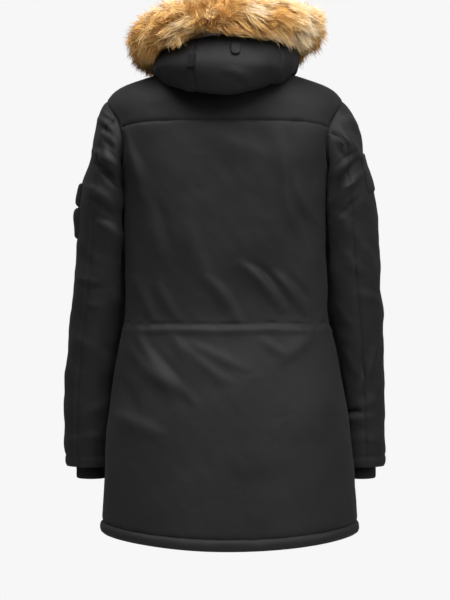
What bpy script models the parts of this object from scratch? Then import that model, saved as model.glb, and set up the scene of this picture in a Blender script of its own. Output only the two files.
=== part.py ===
"""Women's black padded parka with a fur-trimmed hood, in its worn, hollow form with the hood down.

Metres, +Z up. The coat faces -Y and the wearer's left is +X. The origin is the middle of the neck opening,
level with the neck seam. Every piece that is cut and sewn is its own closed solid: a padded wall between an
outer and an inner layer of one skin. The body's skin is a stack of level sections, a sleeve's is a row of
rings from the armhole to the wrist, and the hood's is a fan of sections round the neck.
"""

import math
from collections import namedtuple

import bmesh
import bpy
import numpy as np

# Walls and gaps
WALL = 0.005  # shell cloth, padding and lining
HOOD_WALL = 0.004
SEAM_GAP = 0.0004  # between two pieces sewn to each other
LIE_GAP = 0.0008  # under a piece that lies on another

# Body
NECK_CENTRE_X = 0.004
NECK_SLOPE = 0.45  # the neck seam falls this much for each metre forwards of its middle
ARMHOLE_TOP = -0.066
ARMHOLE_BOTTOM = -0.215
ARMHOLE_CENTRE_Y = -0.003
ARMHOLE_HALF_DEPTH = 0.080
BODY_COLUMNS = 22  # across the back
FRONT_COLUMNS = 10  # across one front
FRONT_SCALE = 0.7  # folds on the front, against those on the back

# Collar and storm flap
COLLAR_HEIGHT = 0.050
COLLAR_LEAN = 0.10  # how much narrower the collar is at its top
COLLAR_ROWS = 3
FLAP_HALF_WIDTH = 0.030
FLAP_THICKNESS = 0.004
FLAP_COLUMNS = 3
FLAP_GAP = 0.0015
SNAP_ROWS = (7, 13, 19, 27, 33)  # rows of the front's points that carry a snap
SNAP_RADIUS = 0.0075
SNAP_HEIGHT = 0.003
SNAP_SIDES = 12

# Sleeves
SLEEVE_STEP = math.radians(20)  # between two lines of points down a sleeve
SLEEVE_RADIUS = 0.065  # turns an angle round the arm into a distance along the cloth
CUFF_HALF_WIDTH = 0.029
CUFF_HALF_DEPTH = 0.036
CUFF_WALL = 0.003
CUFF_DROP = 0.022  # below the sleeve's end
CUFF_RISE = 0.014  # inside the sleeve
CUFF_BLOUSE = 0.003  # the knit is full width this far above the sleeve's end
CUFF_CENTRE_X = {"left": 0.246, "right": 0.243}

# Hem
HEM_PROUD = 0.0035
HEM_DEEP = 0.003
HEM_ROWS = 5
HEM_COLUMNS = 44
HEM_FULLNESS = 0.6  # under 1 for a fuller roll

# Hood and fur
HOOD_COLUMN = math.radians(10.5)  # between two lines of points round the hood
HOOD_ROWS = 12
HOOD_END = math.radians(128)
HOOD_SEAM_LEFT = math.radians(17.5)
HOOD_SEAM_RIGHT = math.radians(-33)
HOOD_PANELS = (
    ("hood_left", HOOD_SEAM_LEFT, HOOD_END),
    ("hood_centre", HOOD_SEAM_RIGHT, HOOD_SEAM_LEFT),
    ("hood_right", -HOOD_END, HOOD_SEAM_RIGHT),
)
FUR_RADIUS = 0.036
FUR_TUFT = 0.006
FUR_SIDES = 12
FUR_RINGS = 42
FUR_END = math.radians(171)
FUR_SEED = 7
FUR_BARE_SIDE = 0.35  # tufts reach this far below the roll's widest line
FUR_END_RADIUS = 0.25  # of the roll's radius, at its two ends
FUR_END_TURN = 40  # how late the roll closes towards its ends

SHARP_ANGLE = math.radians(50)
SLOPE_STEP = 1e-4  # over which a skin's slope is read

BodyLevel = namedtuple("BodyLevel", "z half_width back_depth front_depth centre_x centre_y squareness")
BODY_LEVELS = (
    BodyLevel(0.012, 0.062, 0.062, 0.064, 0.004, 0.000, 2.0),
    BodyLevel(0.000, 0.070, 0.070, 0.070, 0.004, 0.000, 2.0),
    BodyLevel(-0.010, 0.088, 0.080, 0.073, 0.004, 0.000, 2.1),
    BodyLevel(-0.024, 0.128, 0.091, 0.078, 0.004, 0.000, 2.2),
    BodyLevel(-0.043, 0.182, 0.103, 0.085, 0.004, -0.002, 2.3),
    BodyLevel(-0.066, 0.208, 0.111, 0.097, 0.004, -0.003, 2.5),
    BodyLevel(-0.111, 0.208, 0.118, 0.117, 0.004, -0.003, 2.8),
    BodyLevel(-0.160, 0.198, 0.121, 0.134, 0.004, -0.003, 2.9),
    BodyLevel(-0.215, 0.186, 0.121, 0.141, 0.004, -0.004, 2.8),
    BodyLevel(-0.313, 0.179, 0.116, 0.137, 0.003, -0.006, 2.6),
    BodyLevel(-0.384, 0.180, 0.110, 0.131, 0.002, -0.008, 2.5),
    BodyLevel(-0.456, 0.182, 0.108, 0.127, 0.001, -0.009, 2.4),
    BodyLevel(-0.491, 0.190, 0.113, 0.128, 0.000, -0.008, 2.4),
    BodyLevel(-0.562, 0.203, 0.126, 0.131, -0.001, -0.006, 2.3),
    BodyLevel(-0.634, 0.2145, 0.135, 0.133, -0.002, -0.004, 2.3),
    BodyLevel(-0.705, 0.221, 0.139, 0.134, -0.003, -0.002, 2.2),
    BodyLevel(-0.794, 0.226, 0.141, 0.136, -0.005, 0.000, 2.2),
    BodyLevel(-0.870, 0.229, 0.142, 0.138, -0.005, 0.000, 2.2),
)

# A seam or a row round the body: its height at the centre back, at the sides and at the centre front.
# How fast it leaves the centre's height for the side's is its turn: 2 is a smooth curve, 6 a late drop.
SeamLine = namedtuple("SeamLine", "back side front turn")
NECK = SeamLine(0.000, 0.000, 0.000, 2)
SHOULDER = SeamLine(ARMHOLE_TOP, ARMHOLE_TOP, ARMHOLE_TOP, 2)
YOKE = SeamLine(-0.111, -0.147, -0.130, 6)
UNDERARM = SeamLine(ARMHOLE_BOTTOM, ARMHOLE_BOTTOM, ARMHOLE_BOTTOM, 2)
WAIST_TOP = SeamLine(-0.446, -0.446, -0.446, 2)
WAIST_RIDGE = SeamLine(-0.459, -0.459, -0.459, 2)
WAIST_CORD = SeamLine(-0.470, -0.470, -0.470, 2)
WAIST_UNDER = SeamLine(-0.484, -0.484, -0.484, 2)
HEM_SEAM = SeamLine(-0.829, -0.811, -0.822, 2)
HEM_END = SeamLine(-0.849, -0.829, -0.840, 2)

# Rows of points between two seam lines, from the neck down.
Band = namedtuple("Band", "top bottom rows")
YOKE_BANDS = (Band(NECK, SHOULDER, 5), Band(SHOULDER, YOKE, 4))
BACK_BANDS = (
    Band(YOKE, UNDERARM, 5),
    Band(UNDERARM, WAIST_TOP, 9),
    Band(WAIST_TOP, WAIST_RIDGE, 1),
    Band(WAIST_RIDGE, WAIST_CORD, 1),
    Band(WAIST_CORD, WAIST_UNDER, 1),
    Band(WAIST_UNDER, HEM_SEAM, 12),
)

# A soft fold: a ridge, or a trough where its height is negative, from one point to another of a panel.
Fold = namedtuple("Fold", "x0 z0 x1 z1 width height")
FOLD_FADE = 12  # how quickly a fold ends, for its length
BACK_FOLDS = (
    Fold(-0.108, -0.136, -0.143, -0.317, 0.016, 0.0040),
    Fold(-0.085, -0.200, -0.120, -0.330, 0.014, -0.0025),
    Fold(0.163, -0.138, 0.115, -0.289, 0.018, 0.0035),
    Fold(0.038, -0.334, -0.014, -0.450, 0.016, 0.0040),
    Fold(-0.039, -0.377, -0.125, -0.437, 0.014, 0.0045),
    Fold(-0.065, -0.395, -0.140, -0.420, 0.012, -0.0025),
    Fold(0.167, -0.497, 0.064, -0.583, 0.018, 0.0045),
    Fold(0.107, -0.492, 0.055, -0.523, 0.014, 0.0030),
    Fold(0.081, -0.492, -0.022, -0.549, 0.016, 0.0035),
    Fold(0.120, -0.560, 0.060, -0.620, 0.020, -0.0025),
)

# Round the waist the coat blouses over a cord that is drawn inside it.
WaistShape = namedtuple("WaistShape", "z width height")
WAIST_SHAPES = (
    WaistShape(-0.457, 0.010, 0.0035),
    WaistShape(-0.471, 0.006, -0.0045),
)
WAIST_SPREAD = 0.150  # the ridge dies away this far from the middle of the back

# One ring of a sleeve: its outermost and innermost points, and its depth from front to back.
SleeveRing = namedtuple("SleeveRing", "station outer_z outer_left outer_right inner_z inner_x centre_y half_depth")
SLEEVE_RINGS = (
    SleeveRing(0, -0.066, 0.2120, 0.2040, -0.215, 0.186, -0.003, 0.080),
    SleeveRing(1, -0.076, 0.2215, 0.2180, -0.222, 0.186, -0.004, 0.081),
    SleeveRing(2, -0.091, 0.2285, 0.2265, -0.229, 0.184, -0.006, 0.082),
    SleeveRing(3, -0.110, 0.2340, 0.2330, -0.236, 0.180, -0.008, 0.082),
    SleeveRing(4, -0.133, 0.2375, 0.2395, -0.243, 0.176, -0.010, 0.081),
    SleeveRing(5, -0.158, 0.2405, 0.2442, -0.252, 0.170, -0.013, 0.080),
    SleeveRing(6, -0.184, 0.2480, 0.2490, -0.262, 0.164, -0.016, 0.079),
    SleeveRing(7, -0.212, 0.2580, 0.2580, -0.274, 0.158, -0.019, 0.078),
    SleeveRing(8, -0.240, 0.2650, 0.2660, -0.288, 0.154, -0.023, 0.076),
    SleeveRing(9, -0.270, 0.2670, 0.2700, -0.304, 0.152, -0.027, 0.074),
    SleeveRing(10, -0.300, 0.2675, 0.2720, -0.322, 0.152, -0.031, 0.072),
    SleeveRing(11, -0.335, 0.2700, 0.2740, -0.345, 0.153, -0.037, 0.070),
    SleeveRing(12, -0.375, 0.2740, 0.2760, -0.375, 0.157, -0.043, 0.067),
    SleeveRing(13, -0.415, 0.2790, 0.2795, -0.415, 0.163, -0.050, 0.064),
    SleeveRing(14, -0.455, 0.2840, 0.2830, -0.455, 0.170, -0.057, 0.061),
    SleeveRing(15, -0.495, 0.2880, 0.2845, -0.495, 0.176, -0.063, 0.059),
    SleeveRing(16, -0.535, 0.2920, 0.2850, -0.535, 0.182, -0.069, 0.057),
    SleeveRing(17, -0.575, 0.2955, 0.2870, -0.575, 0.186, -0.074, 0.055),
    SleeveRing(18, -0.615, 0.2975, 0.2870, -0.615, 0.190, -0.079, 0.053),
    SleeveRing(19, -0.655, 0.2975, 0.2880, -0.655, 0.193, -0.083, 0.051),
    SleeveRing(20, -0.690, 0.2960, 0.2885, -0.690, 0.195, -0.086, 0.050),
    SleeveRing(21, -0.722, 0.2940, 0.2885, -0.722, 0.196, -0.088, 0.049),
)
LAST_RING = SLEEVE_RINGS[-1].station
SET_IN_RINGS = 3  # over these the sleeve leaves the armhole's own curve
ARMHOLE_ROOM = 0.0006  # between the sleeve's skin and the body's at the armhole
SIDE_ROOM = 0.0030  # between them further down
SIDE_ROOM_RING = 4  # from here down
SIDE_BLEND = 0.003  # how softly the sleeve turns along the body, for each ring
MOST_BLEND = 0.012

# Folds round a sleeve, in degrees round the arm (0 outside, 90 back) and heights on its outer line.
SleeveFold = namedtuple("SleeveFold", "angle0 z0 angle1 z1 width height")
SLEEVE_FOLDS = {
    "left": (
        SleeveFold(10, -0.110, 110, -0.190, 0.013, 0.0045),
        SleeveFold(25, -0.150, 115, -0.225, 0.012, -0.0040),
        SleeveFold(35, -0.185, 110, -0.262, 0.013, 0.0045),
        SleeveFold(62, -0.240, 110, -0.310, 0.014, 0.0035),
        SleeveFold(10, -0.372, 75, -0.388, 0.010, 0.0030),
        SleeveFold(5, -0.425, 65, -0.436, 0.010, 0.0025),
        SleeveFold(20, -0.560, 85, -0.520, 0.016, 0.0030),
    ),
    "right": (
        SleeveFold(5, -0.100, 100, -0.170, 0.013, 0.0045),
        SleeveFold(20, -0.150, 110, -0.215, 0.012, -0.0040),
        SleeveFold(30, -0.180, 110, -0.250, 0.013, 0.0040),
        SleeveFold(15, -0.330, 80, -0.380, 0.016, 0.0030),
        SleeveFold(10, -0.480, 75, -0.545, 0.015, 0.0035),
        SleeveFold(0, -0.610, 80, -0.620, 0.014, -0.0045),
        SleeveFold(10, -0.635, 80, -0.650, 0.014, 0.0035),
    ),
}
SLEEVE_SEAMS = {"left": (60, 280), "right": (80, 280)}  # back and front seam, degrees round the arm

# What lies on a sleeve: rings and angles that it covers, and its thickness at the edge and in the middle.
SleevePiece = namedtuple("SleevePiece", "name side top bottom angle0 angle1 edge middle")
SLEEVE_PIECES = (
    SleevePiece("pocket_flap", "left", 7.0, 8.4, -60, 20, 0.0030, 0.0050),
    SleevePiece("pocket_bag", "left", 8.5, 10.3, -60, 20, 0.0028, 0.0080),
    SleevePiece("sleeve_patch", "right", 5.0, 7.5, -20, 40, 0.0020, 0.0025),
)

# A section of the hood at a turn round the neck (0 back, + to the wearer's left): the fold that hangs lowest,
# the crown that stands out furthest, and the middle of the fur roll on its rim.
HoodSection = namedtuple("HoodSection", "turn fold_reach fold_z crown_reach crown_z fur_reach fur_z")
HOOD_SECTIONS = (
    HoodSection(-172, 0.112, -0.066, 0.124, -0.062, 0.126, -0.018),
    HoodSection(-130, 0.106, -0.042, 0.124, -0.037, 0.132, 0.038),
    HoodSection(-90, 0.112, -0.022, 0.128, -0.008, 0.134, 0.064),
    HoodSection(-60, 0.126, -0.033, 0.146, -0.010, 0.148, 0.060),
    HoodSection(-40, 0.144, -0.048, 0.174, -0.018, 0.162, 0.060),
    HoodSection(0, 0.155, -0.071, 0.188, -0.030, 0.166, 0.066),
    HoodSection(40, 0.146, -0.052, 0.172, -0.022, 0.158, 0.048),
    HoodSection(60, 0.124, -0.036, 0.144, -0.019, 0.145, 0.038),
    HoodSection(90, 0.108, -0.022, 0.124, -0.018, 0.128, 0.031),
    HoodSection(130, 0.106, -0.042, 0.122, -0.036, 0.129, 0.020),
    HoodSection(172, 0.112, -0.066, 0.124, -0.062, 0.126, -0.018),
)
HOOD_SEAM_OUT = 0.008  # the hood's edge lies this far outside the neck seam
HOOD_SEAM_GAP = 0.0009  # above the yoke at the neck seam
HOOD_GAP = 0.0032  # above the yoke and the fronts elsewhere
HOOD_GAP_ROW = 0.2  # from here out to the rim
HOOD_SEAM_DROP = 0.002  # below the neck seam
LOWEST_UNDER_HOOD = -0.14  # the hood lies on the shoulders above this height
HALVINGS = 24  # of a height in search of the shoulder's surface

# Small tabs on the hood's crown: where they sit, and their half width and half height.
HoodTab = namedtuple("HoodTab", "name turn row half_turn half_row thickness")
HOOD_TABS = (
    HoodTab("hood_tab", -5.7, 0.885, 2.4, 0.040, 0.0030),
    HoodTab("hood_loop", 17.5, 0.800, 2.2, 0.055, 0.0022),
)

# Finishes: base colour, roughness, metallic
Finish = namedtuple("Finish", "name colour roughness metallic")
SHELL_CLOTH = Finish("black_shell_cloth", (0.024, 0.025, 0.027, 1.0), 0.72, 0.0)
RIB_KNIT = Finish("black_rib_knit", (0.010, 0.010, 0.011, 1.0), 0.90, 0.0)
LONG_FUR = Finish("golden_tan_fur", (0.520, 0.300, 0.120, 1.0), 0.85, 0.0)
DARK_METAL = Finish("dark_snap_metal", (0.050, 0.050, 0.055, 1.0), 0.40, 1.0)


def column(table, key, name):
    """A smooth curve through one column of a table, as a function of its key column."""
    rows = sorted(table, key=lambda row: getattr(row, key))
    xs = np.array([getattr(row, key) for row in rows], float)
    ys = np.array([getattr(row, name) for row in rows], float)
    slopes = np.gradient(ys, xs)

    def at(x):
        x = np.clip(np.asarray(x, float), xs[0], xs[-1])
        i = np.clip(np.searchsorted(xs, x) - 1, 0, len(xs) - 2)
        step = xs[i + 1] - xs[i]
        t = (x - xs[i]) / step
        start = (1 + 2 * t) * (1 - t) ** 2 * ys[i] + t * (1 - t) ** 2 * step * slopes[i]
        end = t * t * (3 - 2 * t) * ys[i + 1] + t * t * (t - 1) * step * slopes[i + 1]
        return start + end

    return at


BODY = {name: column(BODY_LEVELS, "z", name) for name in BodyLevel._fields[1:]}
SLEEVE = {name: column(SLEEVE_RINGS, "station", name) for name in SleeveRing._fields[1:]}
HOOD = {name: column(HOOD_SECTIONS, "turn", name) for name in HoodSection._fields[1:]}


def ridge(x, z, fold):
    """How high a fold stands at a point of its panel: a soft ridge that fades at both ends."""
    along_x, along_z = fold.x1 - fold.x0, fold.z1 - fold.z0
    length = math.hypot(along_x, along_z)
    t = ((x - fold.x0) * along_x + (z - fold.z0) * along_z) / length**2
    across = ((x - fold.x0) * along_z - (z - fold.z0) * along_x) / length
    ends = 1 / (1 + np.exp(-FOLD_FADE * t)) / (1 + np.exp(FOLD_FADE * (t - 1)))
    return fold.height * np.exp(-((across / fold.width) ** 2)) * ends


def line_height(line, angle):
    """Height of a seam line at an angle round the body."""
    centre = np.where(np.sin(angle) > 0, line.back, line.front)
    return centre + (line.side - centre) * np.abs(np.cos(angle)) ** line.turn


def neck_fall(y, z):
    """How much a section near the neck is tipped down towards the front."""
    return NECK_SLOPE * np.minimum(y, 0) * np.clip(1 - z / ARMHOLE_TOP, 0, 1)


def body_plain(angle, z):
    """The body's skin with no folds, at an angle round it (0 wearer's left, 90 degrees back) and a height."""
    cos, sin = np.cos(angle), np.sin(angle)
    power = BODY["squareness"](z)
    reach = (np.abs(cos) ** power + np.abs(sin) ** power) ** (-1 / power)
    depth = np.where(sin > 0, BODY["back_depth"](z), BODY["front_depth"](z))
    x = BODY["centre_x"](z) + BODY["half_width"](z) * reach * cos
    y = BODY["centre_y"](z) + depth * reach * sin
    return np.stack([x, y, z + neck_fall(y, z)], -1)


def body_relief(angle, z):
    """How far the folds move the body's skin outwards."""
    x = body_plain(angle, z)[..., 0]
    facing = np.sin(angle)
    back = sum(ridge(x, z, fold) for fold in BACK_FOLDS)
    front = FRONT_SCALE * sum(ridge(-x, z, fold) for fold in BACK_FOLDS)
    folds = np.clip(2 * facing, 0, 1) * back + np.clip(-2 * facing, 0, 1) * front
    fade = np.exp(-((x / WAIST_SPREAD) ** 6))
    waist = sum(s.height * np.exp(-(((z - s.z) / s.width) ** 2)) for s in WAIST_SHAPES)
    return folds + fade * waist


def sleeve_plain(side):
    """The skin of one sleeve, as a function of the angle round the arm and the station down it."""
    sign = 1 if side == "left" else -1

    def at(angle, station):
        outer_x, outer_z = SLEEVE["outer_" + side](station), SLEEVE["outer_z"](station)
        inner_x, inner_z = SLEEVE["inner_x"](station), SLEEVE["inner_z"](station)
        x = (outer_x + inner_x) / 2 + (outer_x - inner_x) / 2 * np.cos(angle)
        y = SLEEVE["centre_y"](station) + SLEEVE["half_depth"](station) * np.sin(angle)
        z = (outer_z + inner_z) / 2 + (outer_z - inner_z) / 2 * np.cos(angle)
        edge = body_edge(sign, y, z)
        set_in = np.clip(1 - station / SET_IN_RINGS, 0, 1) ** 2
        x = (1 - set_in) * x + set_in * edge
        room = ARMHOLE_ROOM + (SIDE_ROOM - ARMHOLE_ROOM) * np.clip(station / SIDE_ROOM_RING, 0, 1)
        soft = np.clip(SIDE_BLEND * station, 0, MOST_BLEND)
        x = (x + edge + room + np.sqrt((x - edge - room) ** 2 + soft**2)) / 2
        return np.stack([sign * x, y, z], -1)

    return at


def body_edge(sign, y, z):
    """How far to one side the body's skin reaches at a depth and a height, 0 in front of it or behind it."""
    power = BODY["squareness"](z)
    depth = np.where(y > BODY["centre_y"](z), BODY["back_depth"](z), BODY["front_depth"](z))
    share = np.clip(np.abs(y - BODY["centre_y"](z)) / depth, 0, 1)
    return sign * BODY["centre_x"](z) + BODY["half_width"](z) * (1 - share**power) ** (1 / power)


def sleeve_relief(side):
    """The folds of one sleeve, fading out at the armhole and repeated more weakly on its front."""

    def at(angle, station):
        turned = (np.degrees(angle) + 180) % 360 - 180
        z = SLEEVE["outer_z"](station)
        height = 0
        for fold in SLEEVE_FOLDS[side]:
            ends = [math.radians(fold.angle0) * SLEEVE_RADIUS, math.radians(fold.angle1) * SLEEVE_RADIUS]
            flat = Fold(ends[0], fold.z0, ends[1], fold.z1, fold.width, fold.height)
            round_arm = np.radians(turned) * SLEEVE_RADIUS
            height = height + ridge(round_arm, z, flat) + FRONT_SCALE * ridge(-round_arm, z, flat)
        return height * np.clip(station / 2, 0, 1) * np.clip((LAST_RING - station) / 2, 0, 1)

    return at


def body_height(x, y):
    """Height of the shoulder's skin over a point, or far below where the point is clear of the body."""
    low, high = np.full(np.shape(x), LOWEST_UNDER_HOOD), np.zeros(np.shape(x))

    def outside(z):
        power = BODY["squareness"](z)
        depth = np.where(y > BODY["centre_y"](z), BODY["back_depth"](z), BODY["front_depth"](z))
        across = np.abs(x - BODY["centre_x"](z)) / BODY["half_width"](z)
        return across**power + (np.abs(y - BODY["centre_y"](z)) / depth) ** power > 1

    clear = outside(low)
    for _ in range(HALVINGS):
        middle = (low + high) / 2
        out = outside(middle)
        high = np.where(out, middle, high)
        low = np.where(out, low, middle)
    return np.where(clear, -np.inf, high + neck_fall(y, high))


def hood_plain(turn, row):
    """The hood's outer side at a turn round the neck, from the neck seam (row 0) to the rim (row 1)."""
    degrees = np.degrees(turn)
    neck = body_plain(math.pi / 2 - turn, line_height(NECK, math.pi / 2 - turn))
    neck_reach = np.hypot(neck[..., 0] - NECK_CENTRE_X, neck[..., 1]) + HOOD_SEAM_OUT
    neck_z = neck[..., 2] - HOOD_SEAM_DROP
    fold_reach, fold_z = HOOD["fold_reach"](degrees), HOOD["fold_z"](degrees)
    crown_reach, crown_z = HOOD["crown_reach"](degrees), HOOD["crown_z"](degrees)
    rim_z = HOOD["fur_z"](degrees) - FUR_RADIUS - LIE_GAP
    reaches = [neck_reach, (neck_reach + fold_reach) / 2, fold_reach, crown_reach, HOOD["fur_reach"](degrees)]
    heights = [neck_z, (neck_z + fold_z) / 2, fold_z, crown_z, rim_z]
    reach, z = through(reaches, row), through(heights, row)
    x = NECK_CENTRE_X + reach * np.sin(turn)
    y = reach * np.cos(turn)
    gap = HOOD_SEAM_GAP + (HOOD_GAP - HOOD_SEAM_GAP) * np.clip(row / HOOD_GAP_ROW, 0, 1)
    return np.stack([x, y, np.maximum(z, body_height(x, y) + gap)], -1)


def through(points, t):
    """A smooth curve through evenly spaced values, read at t from 0 to 1."""
    points = [np.broadcast_to(p, np.shape(t)) for p in points]
    points = [2 * points[0] - points[1], *points, 2 * points[-1] - points[-2]]
    spans = len(points) - 3
    place = np.clip(t * spans, 0, spans - 1e-9)
    result = np.zeros(np.shape(t))
    for i in range(spans):
        s = place - i
        a, b, c, d = points[i : i + 4]
        value = b + s * (c - a) / 2 + s**2 * (a - 2.5 * b + 2 * c - d / 2) + s**3 * (1.5 * (b - c) + (d - a) / 2)
        result = np.where((s >= 0) & (s < 1), value, result)
    return result


def outward_normals(skin, u, v):
    """Unit normals of a skin, from its slopes along u and v."""
    along_u = skin.at(u + SLOPE_STEP, v) - skin.at(u - SLOPE_STEP, v)
    along_v = skin.at(u, v + SLOPE_STEP) - skin.at(u, v - SLOPE_STEP)
    normal = skin.facing * np.cross(along_u, along_v)
    return normal / np.maximum(np.linalg.norm(normal, axis=-1, keepdims=True), 1e-12)


def pull_in(points):
    """Shortens a grid of points at its edges by half a seam gap."""
    points = points.copy()
    for grid in (points, points.swapaxes(0, 1)):
        for edge, inner in ((0, 1), (-1, -2)):
            step = grid[inner] - grid[edge]
            length = np.maximum(np.linalg.norm(step, axis=-1, keepdims=True), 1e-9)
            grid[edge] += step / length * SEAM_GAP / 2
    return points


def material(finish):
    """The Principled material of a finish, made once."""
    made = bpy.data.materials.get(finish.name) or bpy.data.materials.new(finish.name)
    made.use_nodes = True
    shader = made.node_tree.nodes["Principled BSDF"]
    shader.inputs["Base Color"].default_value = finish.colour
    shader.inputs["Roughness"].default_value = finish.roughness
    shader.inputs["Metallic"].default_value = finish.metallic
    made.diffuse_color = finish.colour
    return made


def add_object(name, vertices, faces, finish):
    """One closed body with outward faces, shaded smooth but for its edges."""
    mesh = bpy.data.meshes.new(name)
    mesh.from_pydata([tuple(map(float, v)) for v in vertices], [], faces)
    form = bmesh.new()
    form.from_mesh(mesh)
    bmesh.ops.recalc_face_normals(form, faces=form.faces)
    form.to_mesh(mesh)
    form.free()
    mesh.shade_smooth()
    mesh.set_sharp_from_angle(angle=SHARP_ANGLE)
    mesh.materials.append(material(finish))
    made = bpy.data.objects.new(name, mesh)
    bpy.context.scene.collection.objects.link(made)
    return made


def add_wall(name, outer, inner, finish, closed=False):
    """A wall between two grids of points. A closed grid goes once round, and an open one has two more edges."""
    rows, columns = outer.shape[:2]
    count = rows * columns
    vertices = np.concatenate([outer.reshape(-1, 3), inner.reshape(-1, 3)])
    faces = []
    spans = columns if closed else columns - 1
    for r in range(rows - 1):
        for c in range(spans):
            a, b = r * columns + c, r * columns + (c + 1) % columns
            faces.append([a, b, b + columns, a + columns])
            faces.append([a + count, a + columns + count, b + columns + count, b + count])
    for c in range(spans):
        a, b = c, (c + 1) % columns
        faces.append([a, a + count, b + count, b])
        a, b = a + (rows - 1) * columns, b + (rows - 1) * columns
        faces.append([a, b, b + count, a + count])
    if not closed:
        for r in range(rows - 1):
            a, b = r * columns, (r + 1) * columns
            faces.append([a, b, b + count, a + count])
            a, b = a + columns - 1, b + columns - 1
            faces.append([a, a + count, b + count, b])
    return add_object(name, vertices, faces, finish)


def layer(skin, u, v, outside=0.0, inside=-WALL):
    """The outer and inner points of a wall on a skin, at heights outside it (each one number or a grid)."""
    base = skin.at(u, v)
    normal = outward_normals(skin, u, v)
    lift = skin.relief(u, v)
    return base + normal * (lift + outside)[..., None], base + normal * (lift + inside)[..., None]


def add_layer(name, skin, u, v, outside=0.0, inside=-WALL):
    """A piece of shell cloth on a skin."""
    outer, inner = layer(skin, u, v, outside, inside)
    return add_wall(name, pull_in(outer), pull_in(inner), SHELL_CLOTH)


def section_angle(y, z):
    """Angle round the body, from its side, at which its skin is at a depth y."""
    across = float(y - BODY["centre_y"](z))
    depth = float(BODY["back_depth"](z) if across > 0 else BODY["front_depth"](z))
    power = float(BODY["squareness"](z))
    share = min(abs(across) / depth, 0.98)
    return math.copysign(math.atan2(share, (1 - share**power) ** (1 / power)), across)


def armhole_angle(z, face):
    """Angle from the side to the armhole's edge on the back (face 1) or front (face -1) at a height."""
    half_height = (ARMHOLE_TOP - ARMHOLE_BOTTOM) / 2
    rise = (z - (ARMHOLE_TOP + ARMHOLE_BOTTOM) / 2) / half_height
    if abs(rise) > 1 - 1e-6:
        return 0.0
    depth = ARMHOLE_HALF_DEPTH * math.sqrt(1 - rise * rise)
    return section_angle(ARMHOLE_CENTRE_Y + face * depth, z)


def body_rows(bands):
    """(upper line, lower line, share between them) of each row of points, from the top down."""
    rows = [(bands[0].top, bands[0].bottom, 0.0)]
    for band in bands:
        rows += [(band.top, band.bottom, (i + 1) / band.rows) for i in range(band.rows)]
    return rows


def row_height(row, angle):
    """Height of a row of points at an angle round the body."""
    top, bottom, share = row
    return line_height(top, angle) * (1 - share) + line_height(bottom, angle) * share


def edge_angle(row, face):
    """Angle at which a row meets the armhole's edge, or the side or shoulder seam."""
    angle = 0.0
    for _ in range(12):
        angle = armhole_angle(float(row_height(row, angle)), face)
    return angle


def body_grid(bands, ends, columns):
    """Angles and heights of a panel's points. ends(row) gives the two angles at which a row ends."""
    rows = body_rows(bands)
    angles = np.array([np.linspace(*ends(row), columns + 1) for row in rows])
    return angles, np.array([row_height(row, angle) for row, angle in zip(rows, angles)])


def across_back(row):
    """A back row's ends, from the wearer's left to right."""
    edge = edge_angle(row, 1)
    return edge, math.pi - edge


def across_left_front(row):
    """A left front row's ends, from the side to the middle of the front."""
    return edge_angle(row, -1), -math.pi / 2


def add_body():
    """The back yoke, the back and the two fronts."""
    add_layer("back_yoke", BODY_SKIN, *body_grid(YOKE_BANDS, across_back, BODY_COLUMNS))
    add_layer("back_panel", BODY_SKIN, *body_grid(BACK_BANDS, across_back, BODY_COLUMNS))
    angles, heights = body_grid(YOKE_BANDS + BACK_BANDS, across_left_front, FRONT_COLUMNS)
    add_layer("front_left", BODY_SKIN, angles, heights)
    add_layer("front_right", BODY_SKIN, -math.pi - angles, heights)


def add_hem_band():
    """The turned and padded hem, round the coat from one front edge to the other."""
    share = np.linspace(0, 1, HEM_ROWS + 1)
    angles = np.linspace(-math.pi / 2, 1.5 * math.pi, HEM_COLUMNS + 1)
    angles, share = np.meshgrid(angles, share)
    heights = line_height(HEM_SEAM, angles) * (1 - share) + line_height(HEM_END, angles) * share
    swell = np.sin(math.pi * np.clip(share, 0, 1)) ** HEM_FULLNESS
    add_layer("hem_band", BODY_SKIN, angles, heights, HEM_PROUD * swell, -WALL - HEM_DEEP * swell)


def add_storm_flap():
    """The flap that covers the front opening, with its snaps pressed shut."""
    flap_rows = body_rows(YOKE_BANDS + BACK_BANDS)[:-1]
    angles, heights = [], []
    for row in flap_rows:
        z = float(row_height(row, -math.pi / 2))
        half = FLAP_HALF_WIDTH / float(BODY["half_width"](z))
        angles.append(np.linspace(-math.pi / 2 + half, -math.pi / 2 - half, FLAP_COLUMNS + 1))
        heights.append(row_height(row, angles[-1]))
    top = FLAP_GAP + FLAP_THICKNESS
    add_layer("storm_flap", BODY_SKIN, np.array(angles), np.array(heights), top, FLAP_GAP)
    for i, row in enumerate(SNAP_ROWS):
        u, v = np.array([[-math.pi / 2]]), np.array([[row_height(flap_rows[row], -math.pi / 2)]])
        normal = outward_normals(BODY_SKIN, u, v)[0, 0]
        seat = BODY_SKIN.at(u, v)[0, 0] + normal * (float(BODY_SKIN.relief(u, v)[0, 0]) + top + LIE_GAP)
        add_dome(f"snap_{i + 1}", seat, normal)


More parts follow.
